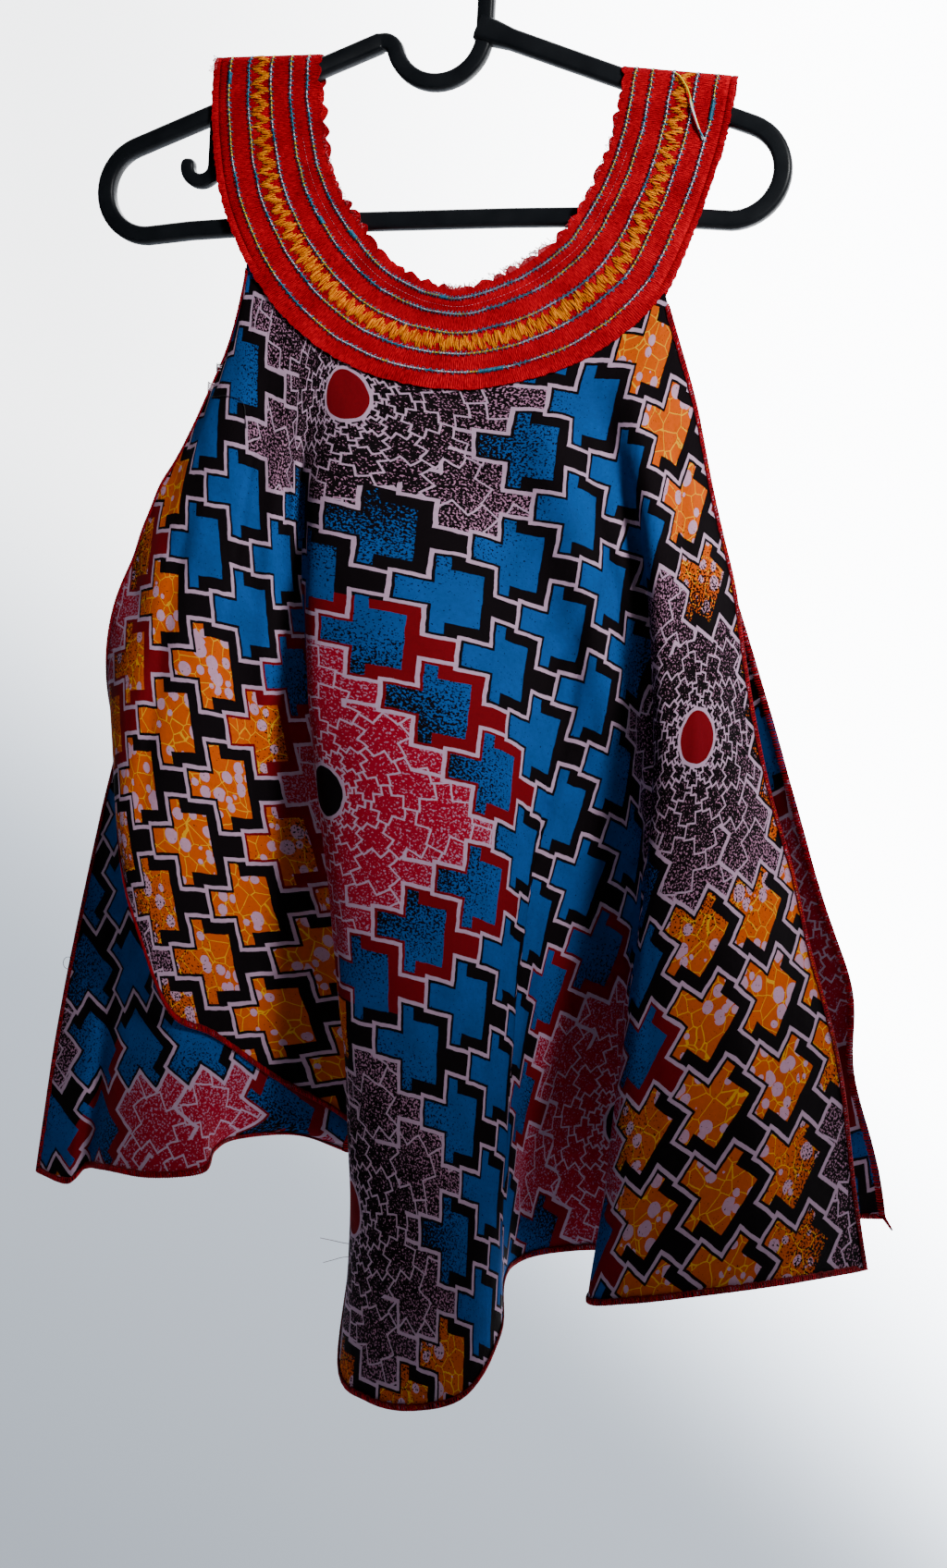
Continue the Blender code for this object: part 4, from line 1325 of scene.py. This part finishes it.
# %% [markdown]
# ## Serged edges
#
# The raw edges are finished on an overlocker, which wraps red thread round the edge about
# three millimetres wide. Close loops cross the edge and chains run along each side of it. A
# loop's steps say how far in, in widths, and how far up and on, in millimetres, it goes.
# %% Serging
SERGE_PITCH = 1.5
SERGE_WIDTH = 2.6
ROUND_EDGE = [
    (1.0, 0.5, 0.0),
    (0.55, 0.85, 0.3),
    (0.0, 0.6, 0.6),
    (-0.2, -0.6, 0.7),
    (0.05, -1.7, 0.8),
    (0.6, -2.1, 1.1),
    (1.0, -1.8, 1.3),
]
CHAINS = ((0.98, 0.45), (-0.12, 0.1))
serging_thread = make_thread("red_overlock_thread", "#64000C", "#A80018", 0.75, Specular_IOR_Level=0.1)


def add_serging(name, edge, inward, normal, seed):
    """Loops round a cloth's edge. Inward and normal say where the cloth lies."""
    draw = np.random.default_rng(seed)
    run = lengths_along(edge)
    spots = np.arange(0.8, run[-1] - 0.8, SERGE_PITCH)
    spots = spots + draw.uniform(-0.2, 0.2, len(spots))

    def at(rows, shift=0.0):
        return np.stack([np.interp(spots + shift, run, rows[:, axis]) for axis in range(3)], -1)

    here, inside, face = at(edge), unit(at(inward)), unit(at(normal))
    way = unit(at(edge, 0.5) - at(edge, -0.5))
    width = SERGE_WIDTH * draw.uniform(0.85, 1.15, (len(spots), 1))
    steps = [here + inside * width * inset + face * up + way * on for inset, up, on in ROUND_EDGE]
    lines, ups = np.stack(steps, axis=1), face[:, None]
    tone = draw.uniform(0, 1, len(spots))
    loops = add_strands(name + "_overlock", lines, ups, 0.58, 0.32, serging_thread, 4, tone)
    chain_lines = [here + inside * width * inset + face * up for inset, up in CHAINS]
    chain = add_strands(name + "_chain", chain_lines, ups.transpose(1, 0, 2), 0.5, 0.4, serging_thread, 5)
    return loops, chain


def serge_panel(name, grid, side, seed, tucked=1):
    """Serging down one side of a panel, along its hem and up the other side."""
    cloth = grid[tucked:]
    normals = face_normals(cloth) * (1 if side == FRONT else -1)
    across, down = np.gradient(cloth, axis=1), np.gradient(cloth, axis=0)
    parts = [
        (cloth[1:, 0], across[1:, 0], normals[1:, 0]),
        (cloth[-1, 1:-1], -down[-1, 1:-1], normals[-1, 1:-1]),
        (cloth[:0:-1, -1], -across[:0:-1, -1], normals[:0:-1, -1]),
    ]
    edge, inward, normal = (np.concatenate(group) for group in zip(*parts))
    return add_serging(name, edge, inward, normal, seed)


serged = serge_panel("front", front_grid, FRONT, 71)
serged += serge_panel("back", back_grid, BACK, 72)
serged += serge_panel("let_in", gore_grid, FRONT, 73)
print("serging", sum(len(piece.data.polygons) for piece in serged), "faces")

# %% [markdown]
# ## Loose threads
#
# Small signs of hand sewing: two tacks that hold front and back together under the left
# armhole, a thread end that was never cut, two fine ends at a fold, a small loop, and a tail
# of serging at the back's right corner. Each is a smooth line through a few points.
# %% Loose threads
tacking_thread = make_thread("dark_tacking_thread", "#0C080C", "#D8B4C6", 0.7)
THREAD_POINTS = 19
TACKS = ((0.219, 0.125), (0.265, 0.167))
TRAILING = [(0.43, 0.24), (0.9, 0.207), (1.43, 0.177), (2.14, 0.156)]
TRAILING += [(2.43, 0.156), (2.57, 0.167), (2.71, 0.177)]
TACK_START = [(3.0, -0.6, 0), (0.2, -0.9, 0), (-1.8, 0.6, 0)]
UPPER_END = [(3, 0, 0.2), (-3, -0.5, 0.6), (-9, -1, 1.4), (-16, -1.5, 2.2)]
LOWER_END = [(3, 0, 0.4), (-3, -0.5, -0.8), (-8, -1, -2.6), (-13.5, -1.2, -4.6)]
SMALL_LOOP = [(1.5, 0, 3.2), (-1.6, 0, 3.4), (-3.6, 0, 1.6), (-3.9, 0, -1.0), (-2.6, 0, -3.2), (0.9, 0, -4.4)]
SERGING_TAIL = [(-1, 0, 1), (0.8, 0, -1.5), (2.8, 0, -4.2), (4.6, 0, -6.6)]


def on_cloth(grid, columns, fold, down, lift=0.7):
    """A point just off a panel's outer face, by its fold and how far down it is."""
    row, col = 1 + round(down * (len(grid) - 2)), round(fold * columns)
    return grid[row, col] + face_normals(grid)[row, col] * lift


def bent(start, steps):
    """A smooth line through steps from a start, in millimetres."""
    points = np.asarray(start) + np.array(steps, float)
    t = np.linspace(0, len(points) - 1, THREAD_POINTS)
    return np.stack([along(points[:, axis], t) for axis in range(3)], -1)


def make_loose_threads():
    """The tacks and thread ends as one piece, and the tail of serging as another."""
    draw = np.random.default_rng(81)
    front, back = COLUMNS_PER_FOLD["front"], COLUMNS_PER_FOLD["back"]
    lines, tone = [], []
    for front_down, back_down in TACKS:
        near, far = on_cloth(front_grid, front, 0, front_down), on_cloth(back_grid, back, 0, back_down, 0)
        span = far - near
        for shift in np.linspace(-2.2, 2.2, 9) + draw.uniform(-0.3, 0.3, 9):
            ways = [*TACK_START, span + (-1.6, -0.4, 0), span + (0.4, 0.9, 0)]
            lines.append(bent(near + (0, 0, shift), ways))
            tone.append(draw.choice([0.0, 0.1, 0.9]))
    trail = [on_cloth(front_grid, front, fold, down) for fold, down in TRAILING]
    fold_end = on_cloth(front_grid, front, 7.86, 0.896)
    lines.append(bent((0, 0, 0), trail))
    lines.append(bent(fold_end, UPPER_END))
    lines.append(bent(fold_end + (0, 0, -7), LOWER_END))
    lines.append(bent(on_cloth(gore_grid, COLUMNS_PER_FOLD["gore"], 0, 0.471), SMALL_LOOP))
    tone += [0.0, 0.55, 0.45, 0.1]
    up, tone = [TOWARDS_VIEWER], np.array(tone)
    ends = add_strands("loose_threads", lines, up, 0.22, 0.22, tacking_thread, 4, tone)
    tail_line = [bent(back_grid[-1, -1], SERGING_TAIL)]
    taper = np.linspace(1.0, 0.45, THREAD_POINTS)
    tail = add_strands("serging_tail", tail_line, up, 1.3, 0.9, serging_thread, 6, [0.5], taper)
    return ends, tail


loose_threads = make_loose_threads()
print("loose threads", [len(piece.data.polygons) for piece in loose_threads], "faces")

# %% [markdown]
# ## The hanger
#
# The hanger is one moulding of black plastic. Its bar has a flat face with rounded corners. It
# is made as by hand: a rounded rectangle at the hook's tip is spun round each bend and
# extruded along each straight, all the way round to where the right arm meets the stem. Two
# small hooks and the ring of a mould pin are joined to it.
# %% Bars that are spun and extruded
BAR_DEPTH = 4.4
BAR_CORNER = 2.3
TILT = 0.014


def start_bar(name, x, z, way, half):
    """The first end of a bar, a rounded rectangle that faces the way the bar will go."""
    bpy.ops.object.select_all(action="DESELECT")
    turn = math.atan2(way[0], way[1])
    bpy.ops.mesh.primitive_plane_add(size=2 * MM, location=(x * MM, 0, z * MM), rotation=(0, turn, 0))
    bar = bpy.context.object
    bar.name = name
    bar.scale = (half, min(half, BAR_DEPTH), 1)
    bpy.ops.object.transform_apply(location=True, rotation=True, scale=True)
    bpy.ops.object.mode_set(mode="EDIT")
    bpy.ops.mesh.select_all(action="SELECT")
    corner = min(BAR_CORNER, half * 0.45)
    bpy.ops.mesh.bevel(offset=corner * MM, offset_type="OFFSET", segments=4, affect="VERTICES")
    return bar


def spin_end(x, z, degrees, steps):
    """Carries the bar's end round a bend. Plus degrees turn it from +X towards +Z."""
    bpy.ops.mesh.spin(steps=steps, angle=math.radians(degrees), center=(x * MM, 0, z * MM), axis=(0, 1, 0))


def push_end(x, z):
    """Extrudes the bar's end along a straight."""
    bpy.ops.mesh.extrude_region_move(TRANSFORM_OT_translate={"value": (x * MM, 0, z * MM)})


def swell_end(share, x, z):
    """Makes the bar's end a little thicker or thinner."""
    bpy.ops.transform.resize(value=(share,) * 3, center_override=(x * MM, 0, z * MM))


def close_bar(bar):
    """Fills a bar's open ends, and points all its faces outwards."""
    bpy.ops.mesh.select_all(action="DESELECT")
    bpy.ops.mesh.select_non_manifold()
    bar.update_from_editmode()
    if any(edge.select for edge in bar.data.edges):
        bpy.ops.mesh.edge_face_add()
    bpy.ops.mesh.select_all(action="SELECT")
    bpy.ops.mesh.remove_doubles(threshold=0.00002)
    bpy.ops.mesh.normals_make_consistent(inside=False)
    bpy.ops.object.mode_set(mode="OBJECT")


print("the bar is", BAR_DEPTH * 2, "mm deep")

# %% The long bar
HOOK_X, HOOK_Z, HOOK_R = 0.0, -22.5, 27.5
HOOK_TIP = 215
BAR_HALF = 5.0
DIP_Z = -92.4
SHOULDER_CENTRE = (-33.64, -102.05)
SHOULDER_R = 7.5
ARM_SLOPE = math.radians(21)
LOOP_X, LOOP_Z, LOOP_R = 178.0, -178.0, 28.0
ARM_ROOT = (34.0, -92.7)
RAIL = [(-150, -203.6), (-105, -201.8), (-50, -201), (50, -201), (105, -201.8), (150, -203.6), (178, -206)]


def at_angle(x, z, radius, degrees):
    """The place on a circle, by its middle, its radius and degrees from +X towards +Z."""
    return x + radius * math.cos(math.radians(degrees)), z + radius * math.sin(math.radians(degrees))


def make_long_bar():
    """Hook, stem, dip, left arm, left loop, rail, right loop and right arm, in one bar."""
    tip = at_angle(HOOK_X, HOOK_Z, HOOK_R, HOOK_TIP)
    way = (math.sin(math.radians(HOOK_TIP)), -math.cos(math.radians(HOOK_TIP)))
    bar = start_bar("moulded_hanger", *tip, way, BAR_HALF)
    spin_end(HOOK_X, HOOK_Z, -HOOK_TIP, 26)
    push_end(0, DIP_Z - HOOK_Z)
    spin_end(0, DIP_Z, -164, 22)
    spin_end(*SHOULDER_CENTRE, 95, 9)
    place = at_angle(*SHOULDER_CENTRE, SHOULDER_R, 111)
    swell_end(1.12, *place)
    loop_start = at_angle(-LOOP_X, LOOP_Z, LOOP_R, 111)
    push_end(loop_start[0] - place[0], loop_start[1] - place[1])
    swell_end(0.95, *loop_start)
    spin_end(-LOOP_X, LOOP_Z, 159, 20)
    x, z = -LOOP_X, LOOP_Z - LOOP_R
    for rail_x, rail_z in RAIL:
        push_end(rail_x - x, rail_z - z)
        x, z = rail_x, rail_z
    spin_end(LOOP_X, LOOP_Z, 159, 20)
    x, z = at_angle(LOOP_X, LOOP_Z, LOOP_R, 69)
    for reach, share in ((44.0, 1.1), (34.0, 1.22), (24.0, 1.05)):
        next_z = ARM_ROOT[1] - math.tan(ARM_SLOPE) * (reach - ARM_ROOT[0])
        push_end(reach - x, next_z - z)
        swell_end(share, reach, next_z)
        x, z = reach, next_z
    close_bar(bar)
    return bar


print("the rail has", len(RAIL), "straights")


# %% The small hooks and the pin's mark
def make_inner_hook(side):
    """A small hook under each arm, for a strap, with a rounded tip."""
    reach, hook_x, hook_z, radius = 136.2 * side, 145.0 * side, -165.0, 8.8
    top = ARM_ROOT[1] - math.tan(ARM_SLOPE) * (abs(reach) - ARM_ROOT[0])
    bar = start_bar("inner_hook", reach, top, (0, -1), 4.2)
    push_end(0, hook_z - top)
    spin_end(hook_x, hook_z, 190 * side, 18)
    angle = 180 + 190 if side > 0 else -190
    x, z = at_angle(hook_x, hook_z, radius, angle)
    way = (-math.sin(math.radians(angle)) * side, math.cos(math.radians(angle)) * side)
    for step, share in ((1.8, 0.88), (1.3, 0.72), (0.6, 0.5)):
        push_end(way[0] * step, way[1] * step)
        x, z = x + way[0] * step, z + way[1] * step
        swell_end(share, x, z)
    close_bar(bar)
    return bar


def make_pin_mark():
    """The small ring that the mould's pin leaves on the rail."""
    bpy.ops.mesh.primitive_torus_add(
        major_radius=2.4 * MM,
        minor_radius=0.35 * MM,
        major_segments=20,
        minor_segments=6,
        location=(-42 * MM, -BAR_DEPTH * MM, -201 * MM),
        rotation=(math.pi / 2, 0, 0),
    )
    return bpy.context.object


# %% The whole hanger
def make_hanger():
    """Joins the parts and gives the moulding its small tilt."""
    parts = [make_long_bar(), make_inner_hook(-1), make_inner_hook(1), make_pin_mark()]
    bpy.ops.object.select_all(action="DESELECT")
    for part in parts:
        part.select_set(True)
    bpy.context.view_layer.objects.active = parts[0]
    bpy.ops.object.join()
    hanger = parts[0]
    lean = Matrix.Identity(4)
    lean[2][0] = TILT
    hanger.data.transform(lean)
    bpy.ops.object.shade_smooth_by_angle(angle=math.radians(35))
    return hanger


def make_hanger_plastic():
    """Moulded polypropylene: near black, satin, with a very fine grain from the mould."""
    name = "satin_black_polypropylene"
    material, tree, shader = new_material(name, 0.42, Specular_IOR_Level=0.15, IOR=1.49)
    place = add_node(tree, "TexCoord")
    grain = add_node(tree, "TexNoise", {"Vector": place.outputs["Object"], "Scale": 900.0, "Detail": 2.0})
    worn = add_node(tree, "TexNoise", {"Vector": place.outputs["Object"], "Scale": 60.0, "Detail": 4.0})
    rough = add_node(tree, "MapRange", [worn, 0.3, 0.7, 0.34, 0.52])
    tree.links.new(rough.outputs[0], shader.inputs["Roughness"])
    tint = add_node(tree, "MixRGB", [worn, colour("#0B0D10"), colour("#15181C")])
    tree.links.new(tint.outputs[0], shader.inputs["Base Color"])
    bump = add_node(tree, "Bump", {"Height": grain, "Strength": 0.12, "Distance": 0.0002})
    tree.links.new(bump.outputs[0], shader.inputs["Normal"])
    return material


hanger = make_hanger()
hanger.data.materials.clear()
hanger.data.materials.append(make_hanger_plastic())
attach(hanger, "root")
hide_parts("hanger")

# %% [markdown]
# ## Light and surroundings
#
# The dress hangs before a white wall that falls to grey lower down. Soft light comes from
# the upper right, so the left folds and all the hollows stay dark. Two spots stand there: a
# wide one that fades towards the hem, and a narrow, weaker one that lifts the yoke. A broad,
# very faint light in front keeps the shadows from going quite black.
# %% Wall and floor
WHITE = "#FFFFFF"
SOFT_RADIUS = 0.21
FLOOR_RADIUS = 0.8
FLOOR_HEIGHT = -1.31


def stage_lamp(name, kind, place, target, power, tint, **shape):
    """A lamp that looks at a target. It is staged, so it isn't part of the object."""
    bpy.ops.object.light_add(type=kind, location=place)
    lamp = bpy.context.object
    lamp.name = name
    lamp.data.energy = power
    lamp.data.color = colour(tint)[:3]
    for setting, value in shape.items():
        setattr(lamp.data, setting, value)
    lamp.rotation_euler = (Vector(target) - Vector(place)).to_track_quat("-Z", "Y").to_euler()
    return lamp


def make_world():
    """A white wall that glows, brightest on the right, and falls to grey low on the left."""
    world = bpy.data.worlds.new("pale_wall")
    bpy.context.scene.world = world
    world.use_nodes = True
    tree = world.node_tree
    way = add_node(tree, "TexCoord").outputs["Generated"]
    axes = add_node(tree, "SeparateXYZ", [way])
    x, y, z = axes.outputs
    slope = add_node(tree, "Math", [x, 0.68, z], operation="MULTIPLY_ADD")
    level = add_node(tree, "MapRange", [slope, -0.41, -0.12, 0.0, 1.0], interpolation_type="SMOOTHSTEP")
    level = add_node(tree, "Math", [level, 1.4], operation="POWER")
    rise = add_node(tree, "MapRange", [x, -0.44, -0.06, 3.4, 12.0], interpolation_type="SMOOTHSTEP")
    right_end = add_node(tree, "MapRange", [x, 0.0, 0.35, 1.0, 0.14], interpolation_type="SMOOTHSTEP")
    left_end = add_node(tree, "MapRange", [x, -0.5, -0.85, 1.0, 0.3], interpolation_type="SMOOTHSTEP")
    glow = add_node(tree, "Math", [rise, level], operation="MULTIPLY")
    glow = add_node(tree, "Math", [glow, right_end], operation="MULTIPLY")
    glow = add_node(tree, "Math", [glow, left_end], operation="MULTIPLY")
    base = add_node(tree, "MapRange", [slope, -0.60, -0.36, 0.75, 1.1])
    wall = add_node(tree, "Math", [glow, base], operation="ADD")
    ahead = add_node(tree, "MapRange", [y, 0.0, 0.45, 0.0, 1.0], interpolation_type="SMOOTHSTEP")
    behind = add_node(tree, "MapRange", [x, -1.0, 1.0, 0.012, 0.07])
    strength = add_node(tree, "MapRange", [ahead, 0.0, 1.0, behind, wall])
    tint = add_node(tree, "MixRGB", [level, colour("#E2EEFE"), colour("#FAFCFF")])
    tree.links.new(tint.outputs[0], tree.nodes["Background"].inputs["Color"])
    tree.links.new(strength.outputs[0], tree.nodes["Background"].inputs["Strength"])
    return world


def make_floor():
    """A pale matt floor well below the dress, outside the photograph's frame."""
    bpy.ops.object.select_all(action="DESELECT")
    bpy.ops.mesh.primitive_cylinder_add(
        vertices=96, radius=FLOOR_RADIUS, depth=0.02, location=(0, 0, FLOOR_HEIGHT)
    )
    floor = bpy.context.object
    floor.name = "pale_floor"
    bpy.ops.object.transform_apply(location=True)
    material, _, shader = new_material("matt_painted_floor", 0.8)
    shader.inputs["Base Color"].default_value = colour("#C9CCD0")
    floor.data.materials.append(material)
    return floor


world = make_world()
floor = make_floor()
print("world nodes", len(world.node_tree.nodes), "floor at", FLOOR_HEIGHT, floor.name)

# %% Lamps
Spot = namedtuple("Spot", "name place target power degrees")
SPOTS = [
    Spot("key_light", (1.52, -1.38, 0.40), (0.10, 0.0, -0.26), 300, 27),
    Spot("yoke_light", (1.42, -1.45, 0.20), (0.055, 0.0, -0.295), 80, 12),
]
for spot in SPOTS:
    cone = {"spot_size": math.radians(spot.degrees), "spot_blend": 1.0, "shadow_soft_size": SOFT_RADIUS}
    stage_lamp(spot.name, "SPOT", spot.place, spot.target, spot.power, WHITE, **cone)
disk = {"shape": "DISK", "size": 1.4}
fill = stage_lamp("fill_light", "AREA", (0.3, -2.0, 0.5), (0.0, 0.0, -0.4), 1.1, "#F4F7FF", **disk)
print("lamps", len(SPOTS) + 1, "the weakest has", round(fill.data.energy, 1), "W")

Cut = namedtuple("Cut", "piece flat area rests_on")
